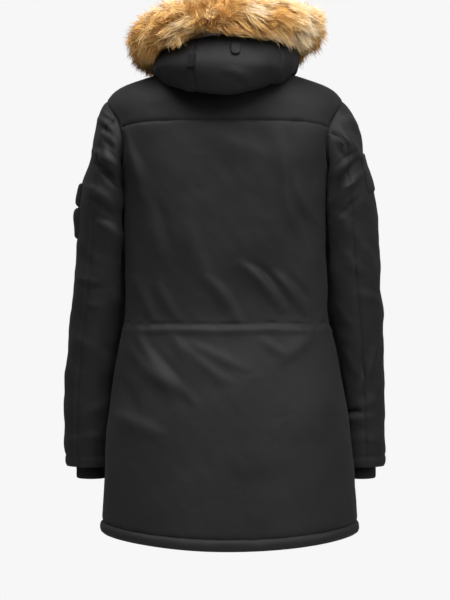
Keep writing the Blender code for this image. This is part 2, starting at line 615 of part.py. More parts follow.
def add_dome(name, seat, normal):
    """A low round snap cap on a flat base, standing along a normal."""
    side = np.cross(normal, (0, 0, 1))
    side /= np.linalg.norm(side)
    up = np.cross(side, normal)
    rings = []
    for share, height in ((1.0, 0.0), (1.0, 0.35), (0.85, 0.75), (0.5, 1.0)):
        turn = np.linspace(0, 2 * math.pi, SNAP_SIDES, endpoint=False)[:, None]
        flat = side * np.cos(turn) + up * np.sin(turn)
        rings.append(seat + SNAP_RADIUS * share * flat + normal * SNAP_HEIGHT * height)
    vertices = np.concatenate(rings)
    faces = [list(range(SNAP_SIDES))[::-1], list(range(3 * SNAP_SIDES, 4 * SNAP_SIDES))]
    for ring in range(3):
        for i in range(SNAP_SIDES):
            a, b = ring * SNAP_SIDES + i, ring * SNAP_SIDES + (i + 1) % SNAP_SIDES
            faces.append([a, b, b + SNAP_SIDES, a + SNAP_SIDES])
    add_object(name, vertices, faces, DARK_METAL)


def collar_plain(angle, share):
    """The stand-up collar's skin, from the neck seam (0) to its top (1)."""
    neck = body_plain(angle, line_height(NECK, angle))
    lean = 1 - COLLAR_LEAN * share
    x = NECK_CENTRE_X + (neck[..., 0] - NECK_CENTRE_X) * lean
    return np.stack([x, neck[..., 1] * lean, neck[..., 2] + LIE_GAP + COLLAR_HEIGHT * share], -1)


def add_collar():
    """The collar, round the neck from one front edge to the other."""
    angles = np.linspace(-math.pi / 2, 1.5 * math.pi, BODY_COLUMNS + 1)
    angles, share = np.meshgrid(angles, np.linspace(0, 1, COLLAR_ROWS + 1))
    add_layer("collar", COLLAR_SKIN, angles, share)


def add_sleeves():
    """Both two-piece sleeves, from the armhole to the wrist."""
    stations = np.arange(LAST_RING + 1.0)
    for side, (back_seam, front_seam) in SLEEVE_SEAMS.items():
        for name, start, end in (("upper", front_seam - 360, back_seam), ("under", back_seam, front_seam)):
            count = round(math.radians(end - start) / SLEEVE_STEP) + 1
            angles = np.radians(np.linspace(start, end, count))
            outer, inner = layer(SLEEVE_SKINS[side], *np.meshgrid(angles, stations))
            inner[0, :, 0] = outer[0, :, 0]
            add_wall(f"{name}_sleeve_{side}", pull_in(outer), pull_in(inner), SHELL_CLOTH)


def add_sleeve_pieces():
    """The pocket and its flap on the left sleeve and the plain patch on the right one."""
    for piece in SLEEVE_PIECES:
        count = round(math.radians(piece.angle1 - piece.angle0) / SLEEVE_STEP) + 1
        angles = np.radians(np.linspace(piece.angle0, piece.angle1, count))
        whole = np.arange(math.ceil(piece.top), piece.bottom)
        rows = np.unique([piece.top, *whole, piece.bottom])
        angles, stations = np.meshgrid(angles, rows)
        middle = np.zeros(angles.shape)
        middle[1:-1, 1:-1] = 1
        height = LIE_GAP + piece.edge + (piece.middle - piece.edge) * middle
        add_layer(piece.name, SLEEVE_SKINS[piece.side], angles, stations, height, LIE_GAP)


def add_cuffs():
    """The knitted cuffs, which start on the inside of the sleeves and narrow to the wrist."""
    angles = np.arange(0, 2 * math.pi - 0.01, SLEEVE_STEP)
    for side, skin in SLEEVE_SKINS.items():
        sign = 1 if side == "left" else -1
        top = float(SLEEVE["outer_z"](LAST_RING)) + CUFF_RISE
        station = LAST_RING - CUFF_RISE / (SLEEVE_RINGS[-2].outer_z - SLEEVE_RINGS[-1].outer_z)
        u, v = np.meshgrid(angles, [station])
        mouth = skin.at(u, v) - outward_normals(skin, u, v) * (WALL + SEAM_GAP)
        centre_y = float(SLEEVE["centre_y"](LAST_RING))
        x = sign * (CUFF_CENTRE_X[side] + CUFF_HALF_WIDTH * np.cos(angles))
        y = centre_y + CUFF_HALF_DEPTH * np.sin(angles)
        drops = (CUFF_RISE - CUFF_BLOUSE, CUFF_RISE + CUFF_BLOUSE, CUFF_RISE + CUFF_DROP)
        below = [np.stack([x, y, np.full(x.shape, top - drop)], -1) for drop in drops]
        outer = np.array([mouth[0], *below])
        middle = np.array([sign * CUFF_CENTRE_X[side], centre_y, 0])
        inwards = (middle - outer) * (1, 1, 0)
        inner = outer + CUFF_WALL * inwards / np.linalg.norm(inwards, axis=-1, keepdims=True)
        inner[0, :, 2] -= CUFF_WALL / 2
        add_wall(f"cuff_{side}", outer, inner, RIB_KNIT, closed=True)


def add_hood():
    """The hood's middle and two sides, folded into a pouch behind the neck, with its tabs."""
    rows = np.linspace(0, 1, HOOD_ROWS + 1)
    for name, start, end in HOOD_PANELS:
        turns = np.linspace(start, end, round((end - start) / HOOD_COLUMN) + 1)
        add_layer(name, HOOD_SKIN, *np.meshgrid(turns, rows), inside=-HOOD_WALL)
    for tab in HOOD_TABS:
        turns = np.radians(tab.turn + tab.half_turn * np.linspace(-1, 1, 3))
        rows = tab.row + tab.half_row * np.linspace(-1, 1, 4)
        add_layer(tab.name, HOOD_SKIN, *np.meshgrid(turns, rows), LIE_GAP + tab.thickness, LIE_GAP)


def add_fur():
    """The fur roll on the hood's rim: a thick ring, open at the throat, with tufts standing out of it."""
    chance = np.random.default_rng(FUR_SEED)
    turns = np.linspace(-FUR_END, FUR_END, FUR_RINGS)
    sides = np.radians(-90) + np.linspace(0, 2 * math.pi, FUR_SIDES, endpoint=False)
    tufts = chance.uniform(0, 1, (FUR_RINGS, FUR_SIDES)) ** 2
    upper = np.clip(FUR_BARE_SIDE + np.sin(sides), 0, 1)
    rings = []
    for i, turn in enumerate(turns):
        degrees = math.degrees(turn)
        reach, height = float(HOOD["fur_reach"](degrees)), float(HOOD["fur_z"](degrees))
        middle = np.array([NECK_CENTRE_X + reach * math.sin(turn), reach * math.cos(turn), height])
        outwards = np.array([math.sin(turn), math.cos(turn), 0])
        closing = math.sqrt(max(0.0, 1 - (abs(turn) / FUR_END) ** FUR_END_TURN))
        radius = (FUR_RADIUS + FUR_TUFT * tufts[i] * upper) * max(closing, FUR_END_RADIUS)
        flat = outwards * np.cos(sides)[:, None] + np.array([0, 0, 1]) * np.sin(sides)[:, None]
        rings.append(middle + radius[:, None] * flat)
    vertices = np.concatenate(rings)
    last = (FUR_RINGS - 1) * FUR_SIDES
    faces = [list(range(FUR_SIDES)), list(range(last, last + FUR_SIDES))[::-1]]
    for ring in range(FUR_RINGS - 1):
        for i in range(FUR_SIDES):
            a, b = ring * FUR_SIDES + i, ring * FUR_SIDES + (i + 1) % FUR_SIDES
            faces.append([a, b, b + FUR_SIDES, a + FUR_SIDES])
    add_object("fur_trim", vertices, faces, LONG_FUR)


# A skin: its points over two numbers, the height of its folds over them, and the sign that turns the cross
# product of its two directions outwards.
Skin = namedtuple("Skin", "at relief facing")
BODY_SKIN = Skin(body_plain, body_relief, 1)
COLLAR_SKIN = Skin(collar_plain, lambda u, v: np.zeros(u.shape), 1)
HOOD_SKIN = Skin(hood_plain, lambda u, v: np.zeros(u.shape), -1)
SLEEVE_SKINS = {
    "left": Skin(sleeve_plain("left"), sleeve_relief("left"), -1),
    "right": Skin(sleeve_plain("right"), sleeve_relief("right"), 1),
}


def main():
    """Clears the scene and makes every piece."""
    for old in list(bpy.data.objects):
        bpy.data.objects.remove(old, do_unlink=True)
    add_body()
    add_hem_band()
    add_storm_flap()
    add_collar()
    add_sleeves()
    add_sleeve_pieces()
    add_cuffs()
    add_hood()
    add_fur()


main()
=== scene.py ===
"""The looks of a black padded parka in its worn, hollow form, with the fur-trimmed hood lying down the back.

Metres, +Z up. The coat faces -Y, the wearer's left is +X, and the origin is the middle of the neck opening.
Each cut piece of cloth is a thin shell on a skin: a smooth surface over two numbers with the creases, gathers
and seam rolls laid on it as relief. Sewing, ribs, studs and fur are meshes that stand on the same skins.
"""

import logging
import math
from collections.abc import Sequence
from dataclasses import dataclass, field, replace
from enum import Enum
from typing import Any

import bmesh
import bpy
import numpy as np
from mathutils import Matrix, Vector

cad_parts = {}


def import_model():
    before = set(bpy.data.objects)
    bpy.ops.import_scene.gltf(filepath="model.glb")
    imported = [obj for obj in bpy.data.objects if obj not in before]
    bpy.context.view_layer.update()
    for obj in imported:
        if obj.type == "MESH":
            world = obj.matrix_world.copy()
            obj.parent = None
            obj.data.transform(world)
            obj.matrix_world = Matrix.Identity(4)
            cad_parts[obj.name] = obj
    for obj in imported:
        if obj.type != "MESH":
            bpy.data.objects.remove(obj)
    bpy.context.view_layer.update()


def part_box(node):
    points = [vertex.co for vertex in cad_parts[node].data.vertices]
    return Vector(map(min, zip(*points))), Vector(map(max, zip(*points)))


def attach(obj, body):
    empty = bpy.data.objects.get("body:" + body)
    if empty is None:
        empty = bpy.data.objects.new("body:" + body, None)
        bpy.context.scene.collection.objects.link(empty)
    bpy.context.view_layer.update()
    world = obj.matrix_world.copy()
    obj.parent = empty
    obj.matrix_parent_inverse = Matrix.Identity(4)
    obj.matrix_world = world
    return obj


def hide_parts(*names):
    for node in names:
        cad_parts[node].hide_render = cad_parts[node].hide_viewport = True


LOG = logging.getLogger("parka")
Array = np.ndarray
Grid = tuple[Array, Array]

WALL = 0.005  # outer cloth, padding and lining together
HOOD_WALL = 0.004
LIE_GAP = 0.0008  # under a piece that lies on another
LIP_DROP = 0.0010  # how much deeper a sewn edge lies where it reaches under its neighbour
SLOPE_STEP = 1e-4  # over which a skin's slope is read
SHARP_ANGLE = math.radians(50)
FRONT = -math.pi / 2
BACK = math.pi / 2


class Slot(Enum):
    """The record's material slots."""

    CLOTH = "shell_cloth"
    KNIT = "rib_knit"
    FUR = "long_fur"
    METAL = "snap_metal"


class Side(Enum):
    """The wearer's two sides, with the sign of their x."""

    LEFT = 1
    RIGHT = -1

    @property
    def word(self) -> str:
        """The side's name in a piece's name."""
        return self.name.lower()


class Edge(Enum):
    """How a panel's edge is finished."""

    SEWN = "rolled down into a seam"
    TURNED = "turned under and rounded off"
    PLAIN = "left level"


class Held(Enum):
    """How a sheet of cloth is held."""

    DRAPED = "draped"
    GATHERED = "gathered"
    FOLDED = "folded"
    STRETCHED = "stretched"


# ---------------------------------------------------------------- curves, ripples and creases


class Column:
    """A smooth curve through one column of a table, as a function of its key column."""

    def __init__(self, rows: Sequence[Any], key: str, name: str) -> None:
        """Reads the column.

        Args:
            rows: the table's rows.
            key: name of the column that the curve runs along.
            name: name of the column that it gives.
        """
        ordered = sorted(rows, key=lambda row: getattr(row, key))
        self.xs = np.array([getattr(row, key) for row in ordered], float)
        self.ys = np.array([getattr(row, name) for row in ordered], float)
        self.slopes = np.gradient(self.ys, self.xs)

    def __call__(self, x: Array | float) -> Array:
        """The curve's value.

        Args:
            x: places along the key column.

        Returns:
            One value for each place.
        """
        x = np.clip(np.asarray(x, float), self.xs[0], self.xs[-1])
        i = np.clip(np.searchsorted(self.xs, x) - 1, 0, len(self.xs) - 2)
        step = self.xs[i + 1] - self.xs[i]
        t = (x - self.xs[i]) / step
        start = (1 + 2 * t) * (1 - t) ** 2 * self.ys[i] + t * (1 - t) ** 2 * step * self.slopes[i]
        end = t * t * (3 - 2 * t) * self.ys[i + 1] + t * t * (t - 1) * step * self.slopes[i + 1]
        return start + end


def rows_as(kind: type, rows: Sequence[Sequence[float]]) -> tuple[Any, ...]:
    """The rows of a table, each as one instance of a class."""
    return tuple(kind(*row) for row in rows)


def columns_of(rows: Sequence[Any], key: str) -> dict[str, Column]:
    """Curves through all the columns of a table.

    Args:
        rows: the table's rows, each a dataclass instance.
        key: name of the column that the curves run along.

    Returns:
        A curve for each column's name.
    """
    return {name: Column(rows, key, name) for name in rows[0].__dataclass_fields__ if name != key}


def soft_step(t: Array) -> Array:
    """0 below t = 0, 1 above t = 1, and a smooth rise between."""
    t = np.clip(t, 0, 1)
    return t * t * (3 - 2 * t)


def bump(distance: Array | float, width: Array | float) -> Array:
    """1 at a distance of 0, falling smoothly to 0 on both sides of it."""
    return np.exp(-((distance / width) ** 2))


def unit(vectors: Array) -> Array:
    """Vectors of length 1 along the given ones."""
    return vectors / np.maximum(np.linalg.norm(vectors, axis=-1, keepdims=True), 1e-12)


def once_round(count: int) -> Array:
    """Even angles once round a circle."""
    return np.linspace(0, 2 * math.pi, count, endpoint=False)


def through(values: Sequence[Array], t: Array) -> Array:
    """A smooth curve through evenly spaced values.

    Args:
        values: the values, each a number or an array of t's shape.
        t: where to read the curve, from 0 to 1.

    Returns:
        The curve's values.
    """
    points = [np.broadcast_to(value, np.shape(t)) for value in values]
    points = [2 * points[0] - points[1], *points, 2 * points[-1] - points[-2]]
    spans = len(points) - 3
    place = np.clip(t * spans, 0, spans - 1e-9)
    result = np.zeros(np.shape(t))
    for i in range(spans):
        s = place - i
        a, b, c, d = points[i : i + 4]
        square, cube = a - 2.5 * b + 2 * c - d / 2, 1.5 * (b - c) + (d - a) / 2
        value = b + s * (c - a) / 2 + s**2 * square + s**3 * cube
        result = np.where((s >= 0) & (s < 1), value, result)
    return result


@dataclass(frozen=True)
class Ripple:
    """Smooth unevenness over two directions, from a few waves of random direction.

    Args:
        seed: of its random directions.
        length: of its waves, in the units of the places that it is read at.
        waves: how many are laid over one another.
    """

    seed: int
    length: float
    waves: int = 7

    def __call__(self, a: Array, b: Array) -> Array:
        """Height of the ripple, from about -1 to 1.

        Args:
            a: places in the first direction.
            b: places in the second direction.

        Returns:
            One height for each place.
        """
        chance = np.random.default_rng(self.seed)
        total = np.zeros(np.broadcast(a, b).shape)
        for _ in range(self.waves):
            turn, phase, stretch = chance.uniform((0, 0, 0.6), (math.pi, 2 * math.pi, 1.7))
            along = a * math.cos(turn) + b * math.sin(turn)
            total = total + np.sin(2 * math.pi * along / (self.length * stretch) + phase)
        return total / math.sqrt(self.waves)


@dataclass(frozen=True)
class Crease:
    """A soft fold from one point of a panel to another, or a trough where its height is below 0.

    Args:
        x0: where it starts, across the coat.
        z0: where it starts, in height.
        x1: where it ends, across the coat.
        z1: where it ends, in height.
        width: half of its width.
        height: of its ridge.
        bow: how far its middle stands to one side, for its length.
        lean: from -1 to 1, how much steeper one side is than the other.
    """

    x0: float
    z0: float
    x1: float
    z1: float
    width: float
    height: float
    bow: float = 0.0
    lean: float = 0.25

    def __call__(self, x: Array, z: Array) -> Array:
        """The fold's height.

        Args:
            x: places across the coat.
            z: heights of the places.

        Returns:
            One height for each place.
        """
        run_x, run_z = self.x1 - self.x0, self.z1 - self.z0
        length = math.hypot(run_x, run_z)
        along = ((x - self.x0) * run_x + (z - self.z0) * run_z) / length**2
        across = ((x - self.x0) * run_z - (z - self.z0) * run_x) / length
        inside = np.clip(along, 0, 1)
        across = across - self.bow * length * 4 * inside * (1 - inside)
        arch = np.sin(math.pi * inside)
        width = self.width * (0.6 + 0.4 * arch) * np.where(across > 0, 1 - self.lean, 1 + self.lean)
        fade = np.sin(math.pi * np.clip((along + 0.12) / 1.24, 0, 1)) ** 0.9
        return self.height * fade * bump(across, width)


def all_of(creases: Sequence[Crease], x: Array, z: Array) -> Array:
    """The height of several creases together."""
    total = np.zeros(np.broadcast(x, z).shape)
    for crease in creases:
        total = total + crease(x, z)
    return total


# ---------------------------------------------------------------- skins


class Skin:
    """A surface over two numbers, with relief on it.

    A skin's facing is the sign that turns the cross product of its two directions outwards.
    """

    facing = 1

    def point(self, u: Array, v: Array) -> Array:
        """The plain surface's points, one for each u and v."""
        raise NotImplementedError

    def relief(self, u: Array, v: Array) -> Array:
        """How far creases move the surface outwards; none, unless a skin says so."""
        return np.zeros(np.broadcast(u, v).shape)

    def normal(self, u: Array, v: Array) -> Array:
        """Unit normals of the plain surface."""
        along_u = self.point(u + SLOPE_STEP, v) - self.point(u - SLOPE_STEP, v)
        along_v = self.point(u, v + SLOPE_STEP) - self.point(u, v - SLOPE_STEP)
        return unit(self.facing * np.cross(along_u, along_v))

    def raised(self, u: Array, v: Array, lift: Array | float) -> Array:
        """Points over the skin.

        Args:
            u: first coordinate of each point.
            v: second coordinate of each point.
            lift: height over the skin's relief.

        Returns:
            The points.
        """
        height = self.relief(u, v) + lift
        return self.point(u, v) + self.normal(u, v) * height[..., None]


@dataclass(frozen=True)
class BodyLevel:
    """One level section of the body: half a superellipse behind and half in front."""

    z: float
    half_width: float
    back_depth: float
    front_depth: float
    centre_x: float
    centre_y: float
    squareness: float


BODY_LEVELS = rows_as(BodyLevel, (
    (0.012, 0.062, 0.062, 0.064, 0.004, 0.000, 2.0), (0.000, 0.070, 0.070, 0.070, 0.004, 0.000, 2.0),
    (-0.010, 0.088, 0.080, 0.073, 0.004, 0.000, 2.1), (-0.024, 0.128, 0.091, 0.078, 0.004, 0.000, 2.2),
    (-0.043, 0.182, 0.103, 0.085, 0.004, -0.002, 2.3), (-0.066, 0.208, 0.111, 0.097, 0.004, -0.003, 2.5),
    (-0.111, 0.208, 0.118, 0.117, 0.004, -0.003, 2.8), (-0.160, 0.198, 0.121, 0.134, 0.004, -0.003, 2.9),
    (-0.215, 0.186, 0.121, 0.141, 0.004, -0.004, 2.8), (-0.313, 0.179, 0.116, 0.137, 0.003, -0.006, 2.6),
    (-0.384, 0.180, 0.110, 0.131, 0.002, -0.008, 2.5), (-0.456, 0.182, 0.108, 0.127, 0.001, -0.009, 2.4),
    (-0.491, 0.190, 0.113, 0.128, 0.000, -0.008, 2.4), (-0.562, 0.203, 0.126, 0.131, -0.001, -0.006, 2.3),
    (-0.634, 0.2145, 0.135, 0.133, -0.002, -0.004, 2.3), (-0.705, 0.221, 0.139, 0.134, -0.003, -0.002, 2.2),
    (-0.794, 0.226, 0.141, 0.136, -0.005, 0.000, 2.2), (-0.870, 0.229, 0.142, 0.138, -0.005, 0.000, 2.2),
))
BODY = columns_of(BODY_LEVELS, "z")

NECK_CENTRE_X = 0.004
NECK_SLOPE = 0.45  # the neck seam falls this much for each metre forwards of its middle
SHOULDER_FLOOR = -0.14  # the shoulders are looked for from here up to the neck seam
SEARCH_STEPS = 20
ARMHOLE_TOP = -0.066
ARMHOLE_BOTTOM = -0.215
ARMHOLE_CENTRE_Y = -0.003
ARMHOLE_HALF_DEPTH = 0.080


@dataclass(frozen=True)
class SeamLine:
    """A seam or a row round the body: its height at the centre back, the sides and the centre front.

    How fast it leaves the centre's height for the side's is its turn: 2 is a smooth curve, 6 a late drop.
    """

    back: float
    side: float
    front: float
    turn: int = 2

    def height(self, angle: Array | float) -> Array:
        """Its height at an angle round the body."""
        centre = np.where(np.sin(angle) > 0, self.back, self.front)
        return centre + (self.side - centre) * np.abs(np.cos(angle)) ** self.turn


def level(z: float) -> SeamLine:
    """A seam or row that stays at one height."""
    return SeamLine(z, z, z)


NECK = level(0.000)
SHOULDER = level(ARMHOLE_TOP)
ABOVE_YOKE = SeamLine(-0.105, -0.141, -0.124, 6)
YOKE = SeamLine(-0.111, -0.147, -0.130, 6)
BELOW_YOKE = SeamLine(-0.117, -0.153, -0.136, 6)
ARMPIT = level(ARMHOLE_BOTTOM + 0.010)
UNDERARM = level(ARMHOLE_BOTTOM)
WAIST_TOP = level(-0.446)
WAIST_UNDER = level(-0.484)
HEM_SEAM = SeamLine(-0.829, -0.811, -0.822)
HEM_END = SeamLine(-0.849, -0.829, -0.840)

BACK_CREASES = rows_as(Crease, (
    # shoulder blades, and the drag from the armholes
    (0.033, -0.131, -0.057, -0.170, 0.022, 0.0022), (0.180, -0.125, 0.148, -0.235, 0.012, 0.0040, 0.04),
    (0.166, -0.165, 0.120, -0.330, 0.018, 0.0035, 0.05), (0.140, -0.215, 0.095, -0.330, 0.014, -0.0022),
    (-0.088, -0.128, -0.108, -0.215, 0.016, 0.0030), (-0.100, -0.190, -0.124, -0.300, 0.011, 0.0042, -0.06),
    (-0.118, -0.205, -0.154, -0.282, 0.010, 0.0038, -0.08),
    (-0.112, -0.235, -0.140, -0.310, 0.007, -0.0024),
    # above the waist
    (0.070, -0.285, 0.035, -0.390, 0.016, 0.0026), (0.034, -0.380, -0.022, -0.458, 0.012, 0.0041, 0.05),
    (-0.026, -0.358, -0.092, -0.432, 0.011, 0.0055, 0.07),
    (-0.044, -0.356, -0.104, -0.418, 0.007, -0.0034, 0.07),
    (-0.080, -0.374, -0.134, -0.440, 0.010, 0.0051, 0.06), (-0.104, -0.372, -0.146, -0.420, 0.008, -0.0026),
    (0.120, -0.395, 0.085, -0.452, 0.010, 0.0028), (0.158, -0.380, 0.130, -0.450, 0.012, 0.0026),
    # below the waist
    (0.153, -0.487, 0.058, -0.596, 0.014, 0.0044, -0.05),
    (0.167, -0.505, 0.100, -0.568, 0.011, 0.0030, -0.05), (0.132, -0.500, 0.072, -0.566, 0.008, -0.0020),
    (0.092, -0.486, -0.004, -0.560, 0.013, 0.0037, -0.06), (0.064, -0.494, -0.026, -0.536, 0.010, 0.0026),
    (0.074, -0.510, 0.024, -0.556, 0.008, -0.0020), (0.098, -0.556, 0.060, -0.602, 0.009, -0.0027),
    (-0.148, -0.484, -0.092, -0.528, 0.013, 0.0022), (-0.060, -0.486, -0.100, -0.515, 0.008, 0.0022),
    (0.200, -0.618, 0.112, -0.650, 0.016, 0.0034), (0.184, -0.560, 0.150, -0.622, 0.014, -0.0022),
    (-0.110, -0.690, -0.020, -0.716, 0.026, 0.0018),
))
FRONT_CREASES = rows_as(Crease, (
    (0.176, -0.130, 0.142, -0.232, 0.014, 0.0040, 0.05),
    (0.150, -0.180, 0.096, -0.300, 0.016, 0.0036, 0.05),
    (0.122, -0.385, 0.066, -0.452, 0.011, 0.0050, 0.06), (0.086, -0.372, 0.048, -0.446, 0.009, 0.0036),
    (0.158, -0.486, 0.074, -0.582, 0.012, 0.0050, -0.05), (0.098, -0.488, 0.046, -0.560, 0.010, 0.0038),
    (0.190, -0.640, 0.104, -0.672, 0.018, 0.0030), (-0.176, -0.136, -0.146, -0.240, 0.013, 0.0042, -0.05),
    (-0.140, -0.200, -0.092, -0.318, 0.016, 0.0034, -0.05),
    (-0.130, -0.376, -0.062, -0.450, 0.011, 0.0054, -0.06), (-0.092, -0.394, -0.046, -0.452, 0.008, 0.0034),
    (-0.150, -0.490, -0.080, -0.560, 0.011, 0.0046, 0.05), (-0.108, -0.486, -0.050, -0.540, 0.010, 0.0036),
    (-0.186, -0.600, -0.110, -0.640, 0.017, 0.0028),
))
WAIST_RIDGE_Z = -0.4722  # the cloth stands out over the cord's channel here
WAIST_CORD_Z = -0.4612  # the channel's upper line of stitches


class BodySkin(Skin):
    """The body: an angle round it (0 wearer's left, 90 degrees back) and a height."""

    arc = 0.19  # metres of cloth to a radian
    turn_over = 2.5  # how fast the back's creases give way to the front's at the sides
    crease_share = 1.5
    armhole_blend = 0.16  # creases fade over this share of the armhole's size
    shoulder_share = 0.3  # of the unevenness, above the armholes
    waist_spread = 0.158  # the ridge and the groove weaken this far from the middle
    waist_drift = 0.0012  # how far they wander up and down
    ridge_height = 0.0028
    ridge_widths = (0.0056, 0.0080)  # above and below its line
    groove_depth = 0.0010
    groove_width = 0.0036
    gather_height = 0.0010
    gather_reach = 0.020
    gather_clear = 0.004  # round the line of stitches
    swell_height = 0.0011
    shiver_height = 0.00022
    swell = Ripple(11, 0.105)
    shiver = Ripple(12, 0.032)
    pull = Ripple(13, 0.026)

    def point(self, u: Array, v: Array) -> Array:
        """The stacked sections, tipped down to the front near the neck."""
        cos, sin = np.cos(u), np.sin(u)
        power = BODY["squareness"](v)
        reach = (np.abs(cos) ** power + np.abs(sin) ** power) ** (-1 / power)
        depth = depth_at(sin > 0, v)
        x = BODY["centre_x"](v) + BODY["half_width"](v) * reach * cos
        y = BODY["centre_y"](v) + depth * reach * sin
        return np.stack([x, y, v + neck_fall(y, v)], -1)

    def relief(self, u: Array, v: Array) -> Array:
        """Creases behind and in front, the ridge over the waist cord, and a little unevenness."""
        x = self.point(u, v)[..., 0]
        behind = self.turn_over * np.sin(u)
        folds = np.clip(behind, 0, 1) * all_of(BACK_CREASES, x, v)
        folds = folds + np.clip(-behind, 0, 1) * all_of(FRONT_CREASES, x, v)
        around = u * self.arc
        uneven = self.swell_height * self.swell(around, v * 0.8) + self.shiver_height * self.shiver(around, v)
        uneven = uneven * (self.shoulder_share + 0.7 * soft_step((ARMHOLE_TOP - v) / 0.05))
        return (self.crease_share * folds + uneven) * self.armhole_fade(u, v) + self.waist(x, u, v)

    def armhole_fade(self, u: Array, v: Array) -> Array:
        """0 at the armholes' edges, where the sleeves join, and 1 away from them."""
        y = self.point(u, v)[..., 1]
        across = (y - ARMHOLE_CENTRE_Y) / ARMHOLE_HALF_DEPTH
        up = (v - (ARMHOLE_TOP + ARMHOLE_BOTTOM) / 2) / ((ARMHOLE_TOP - ARMHOLE_BOTTOM) / 2)
        return soft_step((np.hypot(across, up) - 1) / self.armhole_blend)

    def waist(self, x: Array, u: Array, v: Array) -> Array:
        """The ridge over the cord inside, the shallow groove above it, and the gathers round them."""
        fade = 0.35 + 0.65 * np.exp(-((x / self.waist_spread) ** 8))
        drift = self.waist_drift * self.swell(u * self.arc, u * 0)
        over_ridge = v - WAIST_RIDGE_Z - drift
        over_groove = v - WAIST_CORD_Z - drift
        ridge = self.ridge_height * bump(over_ridge, np.where(over_ridge > 0, *self.ridge_widths))
        groove = -self.groove_depth * bump(over_groove, self.groove_width)
        reach = bump(over_groove, self.gather_reach) * (1 - bump(over_groove, self.gather_clear))
        gathers = self.gather_height * self.pull(u * self.arc, v * 0.12) * reach
        return fade * (ridge + groove) + gathers


def neck_fall(y: Array, z: Array) -> Array:
    """How much a section near the neck is tipped down towards the front."""
    near_neck = np.clip(1 - z / ARMHOLE_TOP, 0, 1)
    return NECK_SLOPE * np.minimum(y, 0) * near_neck**2 * (2 - near_neck)


def depth_at(behind: Array, z: Array) -> Array:
    """How deep a section is at a height: its back half where a point is behind, else its front half."""
    return np.where(behind, BODY["back_depth"](z), BODY["front_depth"](z))


def body_edge(sign: int, y: Array, z: Array) -> Array:
    """How far to one side the body's skin reaches at a depth and a height."""
    power = BODY["squareness"](z)
    across = y - BODY["centre_y"](z)
    share = np.clip(np.abs(across) / depth_at(across > 0, z), 0, 1)
    return sign * BODY["centre_x"](z) + BODY["half_width"](z) * (1 - share**power) ** (1 / power)


def shoulder_height(x: Array, y: Array) -> Array:
    """Height of the shoulders over a point, or minus infinity where it is clear of the body."""
    low, high = np.full(np.shape(x), SHOULDER_FLOOR), np.zeros(np.shape(x))

    def outside(z: Array) -> Array:
        """Whether the points lie outside the section at a height."""
        power = BODY["squareness"](z)
        off_x, off_y = x - BODY["centre_x"](z), y - BODY["centre_y"](z)
        depth = depth_at(off_y > 0, z)
        return (np.abs(off_x) / BODY["half_width"](z)) ** power + (np.abs(off_y) / depth) ** power > 1

    clear = outside(low)
    for _ in range(SEARCH_STEPS):
        middle = (low + high) / 2
        out = outside(middle)
        high = np.where(out, middle, high)
        low = np.where(out, low, middle)
    return np.where(clear, -np.inf, high + neck_fall(y, high))


@dataclass(frozen=True)
class SleeveRing:
    """One ring of a sleeve: its outermost and innermost points, and its depth from front to back."""

    station: int
    outer_z: float
    outer_left: float
    outer_right: float
    inner_z: float
    inner_x: float
    centre_y: float
    half_depth: float


SLEEVE_RINGS = rows_as(SleeveRing, (
    (0, -0.066, 0.2120, 0.2040, -0.215, 0.186, -0.003, 0.080),
    (1, -0.076, 0.2215, 0.2180, -0.222, 0.186, -0.004, 0.081),
    (2, -0.091, 0.2285, 0.2265, -0.229, 0.184, -0.006, 0.082),
    (3, -0.110, 0.2340, 0.2330, -0.236, 0.180, -0.008, 0.082),
    (4, -0.133, 0.2375, 0.2395, -0.243, 0.176, -0.010, 0.081),
    (5, -0.158, 0.2405, 0.2442, -0.252, 0.170, -0.013, 0.080),
    (6, -0.184, 0.2480, 0.2490, -0.262, 0.164, -0.016, 0.079),
    (7, -0.212, 0.2580, 0.2580, -0.274, 0.158, -0.019, 0.078),
    (8, -0.240, 0.2650, 0.2660, -0.288, 0.154, -0.023, 0.076),
    (9, -0.270, 0.2670, 0.2700, -0.304, 0.152, -0.027, 0.074),
    (10, -0.300, 0.2675, 0.2720, -0.322, 0.152, -0.031, 0.072),
    (11, -0.335, 0.2700, 0.2740, -0.345, 0.153, -0.037, 0.070),
    (12, -0.375, 0.2740, 0.2760, -0.375, 0.157, -0.043, 0.067),
    (13, -0.415, 0.2790, 0.2795, -0.415, 0.163, -0.050, 0.064),
    (14, -0.455, 0.2840, 0.2830, -0.455, 0.170, -0.057, 0.061),
    (15, -0.495, 0.2880, 0.2845, -0.495, 0.176, -0.063, 0.059),
    (16, -0.535, 0.2920, 0.2850, -0.535, 0.182, -0.069, 0.057),
    (17, -0.575, 0.2955, 0.2870, -0.575, 0.186, -0.074, 0.055),
    (18, -0.615, 0.2975, 0.2870, -0.615, 0.190, -0.079, 0.053),
    (19, -0.655, 0.2975, 0.2880, -0.655, 0.193, -0.083, 0.051),
    (20, -0.690, 0.2960, 0.2885, -0.690, 0.195, -0.086, 0.050),
    (21, -0.722, 0.2940, 0.2885, -0.722, 0.196, -0.088, 0.049),
))
SLEEVE = columns_of(SLEEVE_RINGS, "station")
LAST_RING = SLEEVE_RINGS[-1].station

